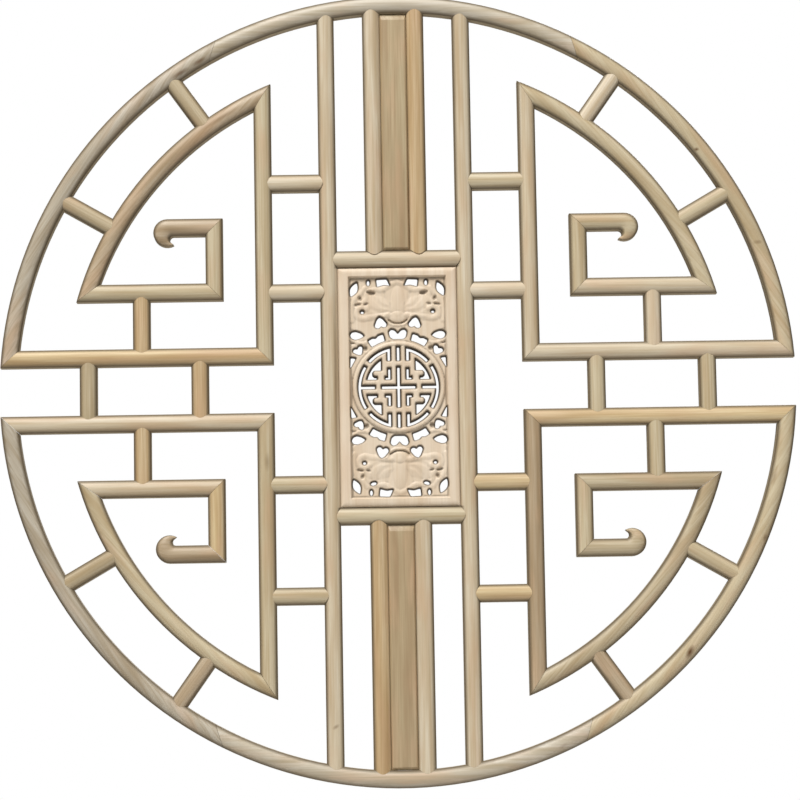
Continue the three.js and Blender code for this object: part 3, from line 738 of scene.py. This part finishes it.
for side, turn in (("near", ARC_TIE_NEAR_ANGLE), ("far", ARC_TIE_FAR_ANGLE)):
    COPED[f"arc_tie_{side}"] = (polar(ARC_MIDDLE, turn), polar(RIM_MIDDLE, turn), "rim", "arc")

models = {"hooked_rail": hooked_rail("hooked_rail")}
for build, rows in ((mitred_stick, STRAIGHT), (mitred_arc, BENT), (coped_stick, COPED)):
    for name, row in rows.items():
        models[name] = build(name, *row)

# The upright is divided at the plaque's ends, so that the painted shade on its side can be softer beside
# the plaque
for end in (PLAQUE_HALF_HEIGHT, -PLAQUE_HALF_HEIGHT):
    edit_all(models["upright"])
    bpy.ops.mesh.bisect(plane_co=spot(0, end), plane_no=(0, 0, 1))
    done()
for cutter in cutters.values():
    bpy.data.objects.remove(cutter)
for model in models.values():
    smooth(model)


def beside_panel(centre):
    return centre.x < PANEL_STILE_X * MM


def beside_plaque(centre):
    return centre.x < UPRIGHT_X * MM and abs(centre.z - MIDDLE.z) < PLAQUE_HALF_HEIGHT * MM


SNUG_SIDES = {"panel_stile": beside_panel, "upright": beside_plaque}
# Each stick is cut from another place of the board, this far on in metres
NEXT_ON_BOARD = np.array((0.37, 0.113, 0.071))


def place(number, model, name, sign_x, sign_z, tone, node):
    """A copy of a modelled stick, turned over into its quarter, that stands for a CAD node."""
    only(models[model])
    bpy.ops.object.duplicate()
    piece = bpy.context.object
    piece.name = f"{name}_wood"
    piece.data.name = f"{name}_wood"
    lay_grain(piece, NEXT_ON_BOARD * number, SNUG_SIDES.get(model))
    turned = Matrix.Diagonal((sign_x, 1, sign_z, 1))
    piece.data.transform(Matrix.Translation(MIDDLE) @ turned @ Matrix.Translation(-MIDDLE))
    if sign_x * sign_z < 0:
        edit_all(piece)
        bpy.ops.mesh.flip_normals()
        done()
    piece.data.materials.clear()
    piece.data.materials.append(TONES[tone])
    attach(piece, "root")
    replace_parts(piece, node)


# Tones of the sticks of each quarter, in this order
IN_QUARTER = (
    "long_rail stile inner_arc key_rail key_upright hooked_rail "
    "key_strut arc_tie_near arc_tie_far side_tie_near side_tie_far"
).split()
QUARTERS = {
    "top_right": (1, 1, "cream cream khaki cream khaki khaki pale khaki pale pale khaki"),
    "top_left": (-1, 1, "honey khaki rose khaki khaki rose tan dun dun cream cream"),
    "bottom_left": (-1, -1, "cream khaki khaki cream honey rose tan dun rose khaki khaki"),
    "bottom_right": (1, -1, "honey rose dun dun khaki dun khaki khaki rose honey honey"),
}
# The other sticks: model, node, the signs of its side and end, and tone
OTHERS = [
    ("rim_shoulder", "rim_top_right", 1, 1, "khaki"),
    ("rim_shoulder", "rim_top_left", -1, 1, "grey"),
    ("rim_crown", "rim_top_centre", 1, 1, "ash"),
    ("rim_shoulder", "rim_bottom_right", 1, -1, "khaki"),
    ("rim_crown", "rim_bottom_centre", 1, -1, "ash"),
    ("rim_shoulder", "rim_bottom_left", -1, -1, "grey"),
    ("waist_strut_inner", "right_waist_strut_inner", 1, 1, "khaki"),
    ("waist_strut_outer", "right_waist_strut_outer", 1, 1, "khaki"),
    ("upright", "right_upright", 1, 1, "cream"),
    ("waist_strut_inner", "left_waist_strut_inner", -1, 1, "tan"),
    ("waist_strut_outer", "left_waist_strut_outer", -1, 1, "dun"),
    ("upright", "left_upright", -1, 1, "cream"),
    ("plaque_rail", "plaque_rail_top", 1, 1, "cream"),
    ("panel_stile", "top_panel_stile_right", 1, 1, "tan"),
    ("panel_stile", "top_panel_stile_left", -1, 1, "cream"),
    ("plaque_rail", "plaque_rail_bottom", 1, -1, "khaki"),
    ("panel_stile", "bottom_panel_stile_right", 1, -1, "cream"),
    ("panel_stile", "bottom_panel_stile_left", -1, -1, "tan"),
]
# Sticks that share one solid in the CAD, and its node
SHARED = {
    "key_upright": "key_hook",
    "hooked_rail": "key_hook",
    "rim_bottom_centre": "rim_bottom_left",
}

rows = []
for quarter, (sign_x, sign_z, tones) in QUARTERS.items():
    for model, tone in zip(IN_QUARTER, tones.split()):
        node = f"{quarter}_{SHARED.get(model, model)}"
        rows.append((model, f"{quarter}_{model}", sign_x, sign_z, tone, node))
rows += [(*row, SHARED.get(row[1], row[1])) for row in OTHERS]
for number, row in enumerate(rows):
    place(number, *row)
for model in models.values():
    bpy.data.objects.remove(model)

# Raised panels: boards with a chamfer all round the face


def panel(name, sign):
    foot = PLAQUE_RAIL_Z + HALF + SNUG_GAP
    half_width = PANEL_STILE_X - HALF - SNUG_GAP
    head = beside_on(RIM_INNER, half_width) - SNUG_GAP
    middle, half_length = sign * (foot + head) / 2, (head - foot) / 2
    bpy.ops.object.select_all(action="DESELECT")
    bpy.ops.mesh.primitive_cube_add(
        size=2,
        location=spot(0, middle, (PANEL_FACE + PANEL_BACK) / 2),
        scale=Vector((half_width, (PANEL_FACE - PANEL_BACK) / 2, half_length)) * MM,
    )
    board = settled(name)
    for way_x, way_z, width in (
        (1, 0, PANEL_SIDE_CHAMFER),
        (-1, 0, PANEL_SIDE_CHAMFER),
        (0, 1, PANEL_UPPER_CHAMFER),
        (0, -1, PANEL_LOWER_CHAMFER),
    ):
        start = spot(way_x * (half_width - width), middle + way_z * (half_length - width), PANEL_FACE)
        tilt = Vector((way_x * PANEL_CHAMFER_DEPTH, -width, way_z * PANEL_CHAMFER_DEPTH))
        plane_off(board, start, tilt.normalized())
    soften(board, PANEL_ARRIS)
    grain_along(board, spot(0, sign * foot), Vector((0, 0, 1)))
    # Painted shade: the chamfers darken towards their foot, beside the sticks
    down_chamfer = (PANEL_FACE + corners_of(board)[:, 1] / MM) / PANEL_CHAMFER_DEPTH
    write_share(board, np.clip(down_chamfer, 0, 1) * CHAMFER_SHARE)
    lay_grain(board, (0.6 + sign * 0.21, 0.313, 0.4))
    smooth(board)
    board.data.materials.append(PANEL_WOOD)
    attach(board, "root")
    return board


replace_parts(panel("top_panel_board", 1), "top_panel")
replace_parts(panel("bottom_panel_board", -1), "bottom_panel")

# Carved plaque. Its openings are the same shares of its field as in the part's source, with the
# corners eased by the knife. An outline is a list of [x, y] points.


def moved(points, x, y, degrees=0):
    turn = math.radians(degrees)
    c, s = math.cos(turn), math.sin(turn)
    return [(x + a * c - b * s, y + a * s + b * c) for a, b in points]


def mirrored(points, sign_x, sign_y):
    return [(x * sign_x, y * sign_y) for x, y in points]


def oval(wide, tall, sides=12):
    turns = [(k + 0.5) * 2 * math.pi / sides for k in range(sides)]
    return [(math.cos(turn) * wide / 2, math.sin(turn) * tall / 2) for turn in turns]


def leaf(long, wide, sides=6):
    shares = [k / sides for k in range(sides)]
    bow = [(-(0.5 - t) * long, -math.sin(math.pi * t) * wide / 2) for t in shares]
    return bow + mirrored(bow, -1, -1)


def drop(long, wide):
    lower = ((-0.5, 0.08), (-0.22, -0.3), (0.1, -0.5), (0.36, -0.38))
    upper = ((0.5, 0), (0.4, 0.36), (0.12, 0.5), (-0.24, 0.38))
    return mirrored(lower + upper, long, wide)


def dented_triangle(wide, tall):
    right = mirrored(((0.15, -0.5), (0.4, -0.46), (0.5, -0.2), (0.24, 0.3)), wide, tall)
    return [(0, -0.34 * tall), *right, (0, 0.5 * tall), *mirrored(right, -1, 1)[::-1]]


def arc_points(radius, first, last, sides):
    return [polar(radius, first + (last - first) * k / sides) for k in range(sides + 1)]


def dented_slot(inner, first, last):
    outer = inner + 0.165
    middle = (first + last) / 2
    dent = [polar(outer, middle - 3), polar(outer - 0.035, middle), polar(outer, middle + 3)]
    return [polar(outer, first), *dent, polar(outer, last), *arc_points(inner, last, first, 5)]


# The clouds are drawn with half the field's width as 1
DISC_EDGE = MEDALLION_RADIUS / FIELD_HALF_WIDTH
FIELD_END = FIELD_HALF_HEIGHT / FIELD_HALF_WIDTH


def around(points, outward, turn, degrees):
    return moved(points, *polar(DISC_EDGE + outward, turn), degrees)


def in_field(outlines):
    return [mirrored(outline, FIELD_HALF_WIDTH, FIELD_HALF_WIDTH) for outline in outlines]


def cloud_openings():
    wing = (BAT_NOSE_Z + 0.41 * BAT_LENGTH) / FIELD_HALF_WIDTH
    wedge = [(-0.07, 0.07), (0.06, -0.15), (0.06, 0.09)]
    block = [(-0.15, -0.07), (-0.01, -0.05), (0.13, -0.09), (0.15, 0.08), (-0.08, 0.09)]
    return in_field([
        moved(leaf(0.35, 0.17), 0.885, FIELD_END - 0.255, 114),
        moved(oval(0.08, 0.13), 0.59, FIELD_END - 0.125),
        moved(block, 0.285, FIELD_END - 0.125),
        moved(oval(0.085, 0.075), 0.72, wing),
        around(dented_triangle(0.275, 0.245), 0.45, 75.1, -10),
        around(drop(0.31, 0.19), 0.42, 52, 8),
        around(dented_triangle(0.24, 0.19), 0.163, 43, 150),
        around(wedge, 0.135, 30.3, 0),
        dented_slot(DISC_EDGE + 0.05, 57, 75),
    ])


def bow_opening():
    foot = DISC_EDGE + 0.05
    rise = ((0.11, 0), (0.17, 0.05), (0.195, 0.16), (0.14, 0.22), (0.06, 0.2))
    half = [(x, foot + y) for x, y in rise]
    return in_field([[*half, (0, foot + 0.13), *mirrored(half, -1, 1)[::-1]]])[0]


def curl_opening():
    return in_field([moved(oval(0.14, 0.085), 0.54, FIELD_END - 0.31, 12)])[0]


def on_circle(radius, x):
    return math.degrees(math.acos(x / radius))


def fret_openings():
    edge = SLOT_RADIUS - FRET_ARC_STICK
    leg_outer = LEG_INNER + FRET_SLOT
    wall = leg_outer + FRET_STICK
    low = LEG_INNER
    bottom = low + FRET_FOOT
    top = bottom + FRET_HOOK
    end = beside_on(edge, top) - FRET_HOOK_BAY
    root = (wall + end) / 2
    nook_end = LEG_INNER + FRET_NOOK_FOOT
    nook_side = LEG_INNER + FRET_NOOK
    nook_top = LEG_FOOT - FRET_NOOK_WALL
    leg_slot = [
        (leg_outer, LEG_FOOT),
        *arc_points(SLOT_RADIUS, on_circle(SLOT_RADIUS, leg_outer), BRIDGE_ABOVE, 8),
        *arc_points(DISC_RADIUS, BRIDGE_ABOVE, on_circle(DISC_RADIUS, LEG_INNER), 10),
        (LEG_INNER, LEG_FOOT),
    ]
    hook_slot = [
        *arc_points(edge, on_circle(edge, wall), 90 - on_circle(edge, low), 10),
        (root, low),
        (root, bottom),
        (end - FRET_HOOK_ROUNDING, bottom),
        (end, bottom + FRET_HOOK_ROUNDING),
        (end, top - FRET_HOOK_ROUNDING),
        (end - FRET_HOOK_ROUNDING, top),
        (wall, top),
    ]
    nook = [
        (LEG_INNER, low),
        (nook_end, low),
        (nook_end, bottom),
        (nook_side, bottom),
        (nook_side, nook_top),
        (LEG_INNER, nook_top),
    ]
    return [leg_slot, hook_slot, nook]


def cross_openings():
    half = FRET_SLOT / 2
    side_foot = DISC_RADIUS - FRET_SIDE_SLOT
    lip = math.degrees(math.asin(half / SLOT_RADIUS))
    top = LEG_FOOT - FRET_TIE
    end = side_foot - FRET_TIE
    arm = [(half, half), (half, top), (-half, top), (-half, half), (-end, half), (-end, -half)]
    side = [
        *arc_points(DISC_RADIUS, -BRIDGE_BELOW, BRIDGE_BELOW, 24),
        *arc_points(SLOT_RADIUS, BRIDGE_BELOW, lip, 10),
        (side_foot, half),
        (side_foot, -half),
        *arc_points(SLOT_RADIUS, -lip, -BRIDGE_BELOW, 10),
    ]
    head = [(half, LEG_FOOT), (half, DISC_RADIUS), (-half, DISC_RADIUS), (-half, LEG_FOOT)]
    return [[*arm, *mirrored(arm, -1, -1)], side, mirrored(side, -1, 1), head, mirrored(head, 1, -1)]


def corners_with_sides(points):
    """Each corner of an outline, with the ones before and after it."""
    ring = [Vector(place) for place in points]
    return zip(ring[-1:] + ring[:-1], ring, ring[1:] + ring[:1])


def narrowed(points, taper):
    """The outline drawn in all round, as the saw leaves an opening at the back."""
    area = sum(here.x * after.y - here.y * after.x for _, here, after in corners_with_sides(points))
    drawn = []
    for before, here, after in corners_with_sides(points):
        sides = [(here - before).normalized(), (after - here).normalized()]
        first, second = (Vector((-side.y, side.x)) * math.copysign(1, area) for side in sides)
        drawn.append(here + (first + second) / max(1 + first.dot(second), 0.5) * taper)
    return drawn


def eased(points, radius):
    """Outline with each corner drawn as a short bow."""
    bowed = []
    for before, here, after in corners_with_sides(points):
        start = here + (before - here) * min(radius / (before - here).length, 0.45)
        end = here + (after - here) * min(radius / (after - here).length, 0.45)
        bowed += [start, 0.25 * start + 0.5 * here + 0.25 * end, end]
    return bowed


# Each opening's outline at the face and at the back
openings = []


def open_up(outlines, sign_x, sign_y, radius, taper):
    for outline in outlines:
        drawn = mirrored(outline, sign_x, sign_y)
        openings.append((eased(drawn, radius), eased(narrowed(drawn, taper), radius)))


open_up(cross_openings(), 1, 1, FRET_EASED, FRET_TAPER)
for sign_y in (1, -1):
    open_up([bow_opening()], 1, sign_y, EASED, TAPER)
    for sign_x in (1, -1):
        open_up(cloud_openings(), sign_x, sign_y, EASED, TAPER)
        open_up(fret_openings(), sign_x, sign_y, FRET_EASED, FRET_TAPER)
for sign_x in (1, -1):
    open_up([curl_opening()], sign_x, -1, EASED, TAPER)
rings = [[*outline, outline[0]] for outline, behind in openings]


def distance_to(lines, x, y):
    """How far each point is from the nearest of some lines of points, in millimetres."""
    nearest = np.full(x.shape, 1e9)
    for line in lines:
        for start, end in zip(line[:-1], line[1:]):
            step = end - start
            along = ((x - start.x) * step.x + (y - start.y) * step.y) / max(step.length_squared, 1e-9)
            along = np.clip(along, 0, 1)
            gap = (x - start.x - along * step.x) ** 2 + (y - start.y - along * step.y) ** 2
            nearest = np.minimum(nearest, gap)
    return np.sqrt(nearest)


def swelling(x, y, centre_x, centre_y, half_wide, half_tall, rise, turn, fullness):
    """Smooth swelling or, with a negative rise, a hollow."""
    c, s = math.cos(math.radians(turn)), math.sin(math.radians(turn))
    u = ((x - centre_x) * c + (y - centre_y) * s) / half_wide
    v = (-(x - centre_x) * s + (y - centre_y) * c) / half_tall
    return rise * np.clip(1 - u * u - v * v, 0, 1) ** fullness


def bowed_line(points, steps=6):
    """Smooth line through a few points."""
    ring = [Vector(place) for place in points]
    ring = [2 * ring[0] - ring[1], *ring, 2 * ring[-1] - ring[-2]]
    drawn = []
    for a, b, c, d in zip(ring[:-3], ring[1:-2], ring[2:-1], ring[3:]):
        for k in range(steps):
            t = k / steps
            once, twice, thrice = c - a, 2 * a - 5 * b + 4 * c - d, 3 * b - a - 3 * c + d
            drawn.append(0.5 * (2 * b + once * t + twice * t * t + thrice * t**3))
    return [*drawn, ring[-2]]


# The carving of the upper right quarter, in millimetres from the plaque's middle. Swellings and, with a
# negative rise, pits: centre, half width, half height, rise, turn in degrees, and fullness.
SWELLINGS = [
    (0, 108, 9, 20, 1.3, 0, 0.8),  # The bat's body
    (0, 88.5, 10.5, 7.5, 1.7, 0, 0.7),  # Its head
    (27, 101, 26, 15, 1.4, 8, 1),  # Its wing
    (49.5, 104.6, 5.6, 2.6, -2.2, -8, 1),  # Pits beside the wing's tip
    (47.2, 112.6, 2.8, 4.2, -2.1, -25, 1),
    (40, 105, 4.4, 2.2, -1.5, -20, 1),
    (57, 72, 4.5, 2, -0.9, 35, 1),  # Pits between the clouds
    (57.5, 55.5, 4.5, 1.8, -1.3, 0, 1),
    (41.5, 49, 4, 3.6, -2.8, 40, 0.6),
]
# The lower half is pierced here
UPPER_PIT = (33.3, 119.6, 6, 3.4, -3.4, 10, 0.6)
# Ridges and, with a negative rise, grooves: half width, rise, and points of the line
RIDGES = [
    (1.875, -1.65, [(0, 80.5), (6, 81.3), (11.5, 84.5)]),  # Under the brow
    (2.25, 0.99, [(0, 77.8), (7, 78.6), (13, 82.5), (17, 89)]),  # Brow
    (3.25, -0.44, [(10, 96), (22, 95), (33, 99), (37, 104)]),  # Between the wing's ribs
    (3.25, -0.44, [(10, 100), (20, 103), (27, 111), (28, 116)]),
    (3.25, -0.44, [(9, 104), (14, 111), (16, 119)]),
    # The wing's front edge and curled tip
    (4.5, 1.1, [(12, 91), (24, 89), (36, 88), (45, 86.8), (51, 91), (50.5, 98), (45, 101.5), (39.5, 99)]),
    # Bands of cloud
    (3.75, 0.99, [(57.5, 84), (58, 98), (54.5, 110), (46, 119), (41, 125.5)]),
    (3.75, 0.88, [(44, 106), (40, 112), (39, 118), (30, 123.5), (19, 123), (8, 130), (0, 133.5)]),
    (2.75, 0.88, [(60, 61), (52, 56.5), (44, 55.5), (38.5, 57)]),
]
RIDGE_FULLNESS = 1.4


def relief(x, y):
    """Height of the carved face above the back plane, from the plaque's own middle, in millimetres."""
    across, up = np.abs(x), np.abs(y)
    field = np.full(x.shape, float(PLAQUE_FIELD))
    for row in SWELLINGS:
        field += swelling(across, up, *row)
    field += np.where(y > 0, swelling(across, up, *UPPER_PIT), 0)
    for half_wide, rise, points in RIDGES:
        share = distance_to([bowed_line(points)], across, up) / half_wide
        field += rise * np.clip(1 - share**2, 0, 1) ** RIDGE_FULLNESS

    # Medallion: raised ring, and the fret whose sticks are rounded over
    from_centre = np.hypot(x, y)
    from_ring = from_centre - (DISC_RADIUS + MEDALLION_RADIUS) / 2
    ring = np.sqrt(np.clip(1 - (from_ring / (MEDALLION_RING / 2 + RING_SPREAD)) ** 2, 0, 1))
    near = distance_to(rings, x, y)
    on_fret = from_centre < DISC_RADIUS
    rounded = np.sqrt(np.clip(1 - (1 - np.clip(near / FRET_ROUNDING, 0, 1)) ** 2, 0, 1))
    fret = PLAQUE_FIELD - MEDALLION_DROP + (MEDALLION_RISE + MEDALLION_DROP) * rounded
    field = np.where(on_fret, fret, field)
    raised = PLAQUE_FIELD - RING_DROP + (RING_RISE + RING_DROP) * ring
    field = np.where(ring > 0, np.maximum(field, raised), field)
    field -= np.where(on_fret, 0, KNIFE_DROP * np.clip(1 - near / KNIFE_EDGE, 0, 1) ** 2)

    # Border: rounded over to its outer edge, with a short slope down to the field
    edge = np.minimum(PLAQUE_HALF_WIDTH - across, PLAQUE_HALF_HEIGHT - up)
    over = np.clip(1 - edge / BORDER_ROUNDING, 0, 1)
    border = PLAQUE_FACE - BORDER_DROP * (1 - np.sqrt(1 - over**2))
    inner = np.minimum(FIELD_HALF_WIDTH - across, FIELD_HALF_HEIGHT - up)
    slope = np.clip((inner + SLOPE_OVERLAP) / SLOPE_WIDTH, 0, 1)
    return border * (1 - slope) + field * slope


def opening_cutter(outline, behind):
    """Prism through the plaque with an opening's outline, narrower behind the carved face."""
    bpy.ops.object.select_all(action="DESELECT")
    bpy.ops.mesh.primitive_circle_add(
        vertices=len(outline),
        radius=MM,
        fill_type="NGON",
        location=spot(0, 0),
        rotation=(math.pi / 2, 0, 0),
    )
    bar = settled("opening")
    front, back = BAR_DEPTH + 1, 1
    for corner, place in zip(bar.data.vertices, outline):
        corner.co = spot(*place, front)
    edit_all(bar)
    for depth in (front - TAPER_START, TAPER_START - back):
        bpy.ops.mesh.extrude_region_move(TRANSFORM_OT_translate={"value": (0, depth * MM, 0)})
    shape = bmesh.from_edit_mesh(bar.data)
    wide = np.array([spot(*place, back) for place in outline])
    for corner in shape.verts:
        if corner.select:
            nearest = int(np.abs(wide - np.array(corner.co)).sum(axis=1).argmin())
            corner.co = spot(*behind[nearest], back)
    bmesh.update_edit_mesh(bar.data)
    bpy.ops.mesh.select_all(action="SELECT")
    bpy.ops.mesh.normals_make_consistent(inside=False)
    done()
    return bar


def carve_plaque():
    bpy.ops.object.select_all(action="DESELECT")
    bpy.ops.mesh.primitive_grid_add(
        x_subdivisions=round(2 * PLAQUE_HALF_WIDTH / CARVING_STEP),
        y_subdivisions=round(2 * PLAQUE_HALF_HEIGHT / CARVING_STEP),
        size=2 * PLAQUE_HALF_HEIGHT * MM,
        location=spot(0, 0),
        rotation=(math.pi / 2, 0, 0),
    )
    bpy.context.object.scale.x = PLAQUE_HALF_WIDTH / PLAQUE_HALF_HEIGHT
    plaque = settled("carved_plaque_wood")
    places = corners_of(plaque)
    heights = relief((places[:, 0] - MIDDLE.x) / MM, (places[:, 2] - MIDDLE.z) / MM)
    places[:, 1] = -heights * MM
    plaque.data.vertices.foreach_set("co", places.ravel())
    only(plaque)
    bpy.ops.object.mode_set(mode="EDIT")
    bpy.ops.mesh.select_mode(type="EDGE")
    bpy.ops.mesh.select_all(action="DESELECT")
    bpy.ops.mesh.select_non_manifold()
    bpy.ops.mesh.extrude_edges_move()
    shape = bmesh.from_edit_mesh(plaque.data)
    for corner in shape.verts:
        if corner.select:
            corner.co.y = -PLAQUE_BACK * MM
    bmesh.update_edit_mesh(plaque.data)
    bpy.ops.mesh.edge_face_add()
    bpy.ops.mesh.select_all(action="SELECT")
    bpy.ops.mesh.normals_make_consistent(inside=False)
    done()
    bars = [opening_cutter(*opening) for opening in openings]
    for bar in bars:
        bar.select_set(True)
    plaque.select_set(False)
    bpy.context.view_layer.objects.active = bars[0]
    bpy.ops.object.join()
    cope(plaque, bars[0])
    bpy.data.objects.remove(bars[0])
    weld(plaque)
    return plaque


def painted_carving_shade(plaque):
    """How dark the painted shade is at each corner: round the openings, on their walls and in the hollows
    of the carving."""
    places = corners_of(plaque)
    x, y = (places[:, 0] - MIDDLE.x) / MM, (places[:, 2] - MIDDLE.z) / MM
    height = -places[:, 1] / MM
    near = distance_to(rings, x, y)
    opening_shade = np.clip(OPENING_SHADE_AT_EDGE - near / OPENING_SHADE_REACH, 0, 1)
    wall = (near < WALL_REACH) & (height < WALL_TOP)

    # A hollow is lower than what is around it, on a grid of 1 mm, or well below the field
    columns, rows = int(PLAQUE_HALF_WIDTH) + 1, int(PLAQUE_HALF_HEIGHT) + 1
    grid_y, grid_x = np.mgrid[-rows : rows + 1, -columns : columns + 1].astype(float)
    carved = relief(np.clip(grid_x, 1 - columns, columns - 1), np.clip(grid_y, 1 - rows, rows - 1))
    shifts = [(a, b) for a in (-2, 0, 2) for b in (-2, 0, 2)]
    around_it = np.mean([np.roll(carved, shift, (0, 1)) for shift in shifts], axis=0)
    hollow = np.clip((around_it - carved - HOLLOW_LEAST) * HOLLOW_GAIN, 0, 1)
    hollow = np.maximum(hollow, np.clip((PLAQUE_FIELD - PIT_STARTS - carved) / PIT_RANGE, 0, 1))

    # Read off the grid between its points
    column, row = np.clip(x + columns, 0, 2 * columns - 1.001), np.clip(y + rows, 0, 2 * rows - 1.001)
    c, r = column.astype(int), row.astype(int)
    u, v = column - c, row - r
    lower = hollow[r, c] * (1 - u) + hollow[r, c + 1] * u
    upper = hollow[r + 1, c] * (1 - u) + hollow[r + 1, c + 1] * u
    hollow = np.where(height > CARVED_ABOVE, lower * (1 - v) + upper * v, 0)
    inner = np.minimum(FIELD_HALF_WIDTH - np.abs(x), FIELD_HALF_HEIGHT - np.abs(y))
    shade = np.where(inner < BORDER_REACH, BORDER_SHADE, HOLLOW_SHADE)
    return np.maximum(np.maximum(opening_shade, wall), shade * hollow)


plaque = carve_plaque()
grain_along(plaque, spot(0, 0), Vector((0, 0, 1)))
# Painted shade of the carving, carried in the share that darkens the wood's edges
write_share(plaque, EDGE_STARTS + (EDGE_FULL - EDGE_STARTS) * painted_carving_shade(plaque))
lay_grain(plaque, (0.9, 0.7, 0.2))
smooth(plaque, 40)
plaque.data.materials.clear()
plaque.data.materials.append(PLAQUE_WOOD)
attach(plaque, "root")
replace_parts(plaque, "carved_plaque")

# Studio: pale floor, a large soft light from high on the left, weak light from below, a light for the
# back, and a white surround. Lengths are in metres and powers in watts.

FLOOR_SIZE = 6
FLOOR_Z = -2.3

bpy.ops.object.select_all(action="DESELECT")
bpy.ops.mesh.primitive_plane_add(size=FLOOR_SIZE, location=(0, 0, FLOOR_Z))
floor = settled("floor")
paper = bpy.data.materials.new("pale_floor")
paper.use_nodes = True
paper.node_tree.nodes["Principled BSDF"].inputs["Base Color"].default_value = linear("#d9d7d3")
paper.node_tree.nodes["Principled BSDF"].inputs["Roughness"].default_value = 0.9
floor.data.materials.append(paper)


def soft_light(name, place, size, power):
    lamp = bpy.data.lights.new(name, "AREA")
    lamp.size = size
    lamp.energy = power
    holder = bpy.data.objects.new(name, lamp)
    holder.location = place
    holder.rotation_euler = (MIDDLE - Vector(place)).to_track_quat("-Z", "Y").to_euler()
    bpy.context.scene.collection.objects.link(holder)


soft_light("key_light", (-2.0, -4.7, 6.8), 2.6, 905)
soft_light("fill_light", (1.4, -3.0, -2.0), 2.0, 22)
soft_light("back_light", (2.4, 4.6, 3.2), 2.4, 200)

surround = bpy.data.worlds.new("white_surround")
surround.use_nodes = True
bpy.context.scene.world = surround
sky = surround.node_tree
seen = sky.nodes["Background"]
seen.inputs["Strength"].default_value = 1.0
seen.inputs["Color"].default_value = (1, 1, 1, 1)
lit = add(sky, "ShaderNodeBackground", Color=(1, 1, 1, 1), Strength=0.13)
ray = add(sky, "ShaderNodeLightPath")
shaders = [(0, ray.outputs["Is Camera Ray"]), (1, lit.outputs[0]), (2, seen.outputs[0])]
both = add(sky, "ShaderNodeMixShader", shaders)
sky.links.new(both.outputs[0], sky.nodes["World Output"].inputs["Surface"])

# Colours print as they are named, and the surround is paper white
bpy.context.scene.view_settings.view_transform = "Standard"

# The camera stands where the lattice's corners fall on the photo's: lens in millimetres, place in
# metres and turn in radians
view_from = bpy.data.cameras.new("camera")
view_from.sensor_width = 36
view_from.lens = 131.06
view_from.clip_end = 50
camera = bpy.data.objects.new("camera", view_from)
camera.location = (-0.0609, -3.645, -0.8973)
camera.rotation_euler = (1.678174, 0.017176, -0.015257)
bpy.context.scene.collection.objects.link(camera)
bpy.context.scene.camera = camera
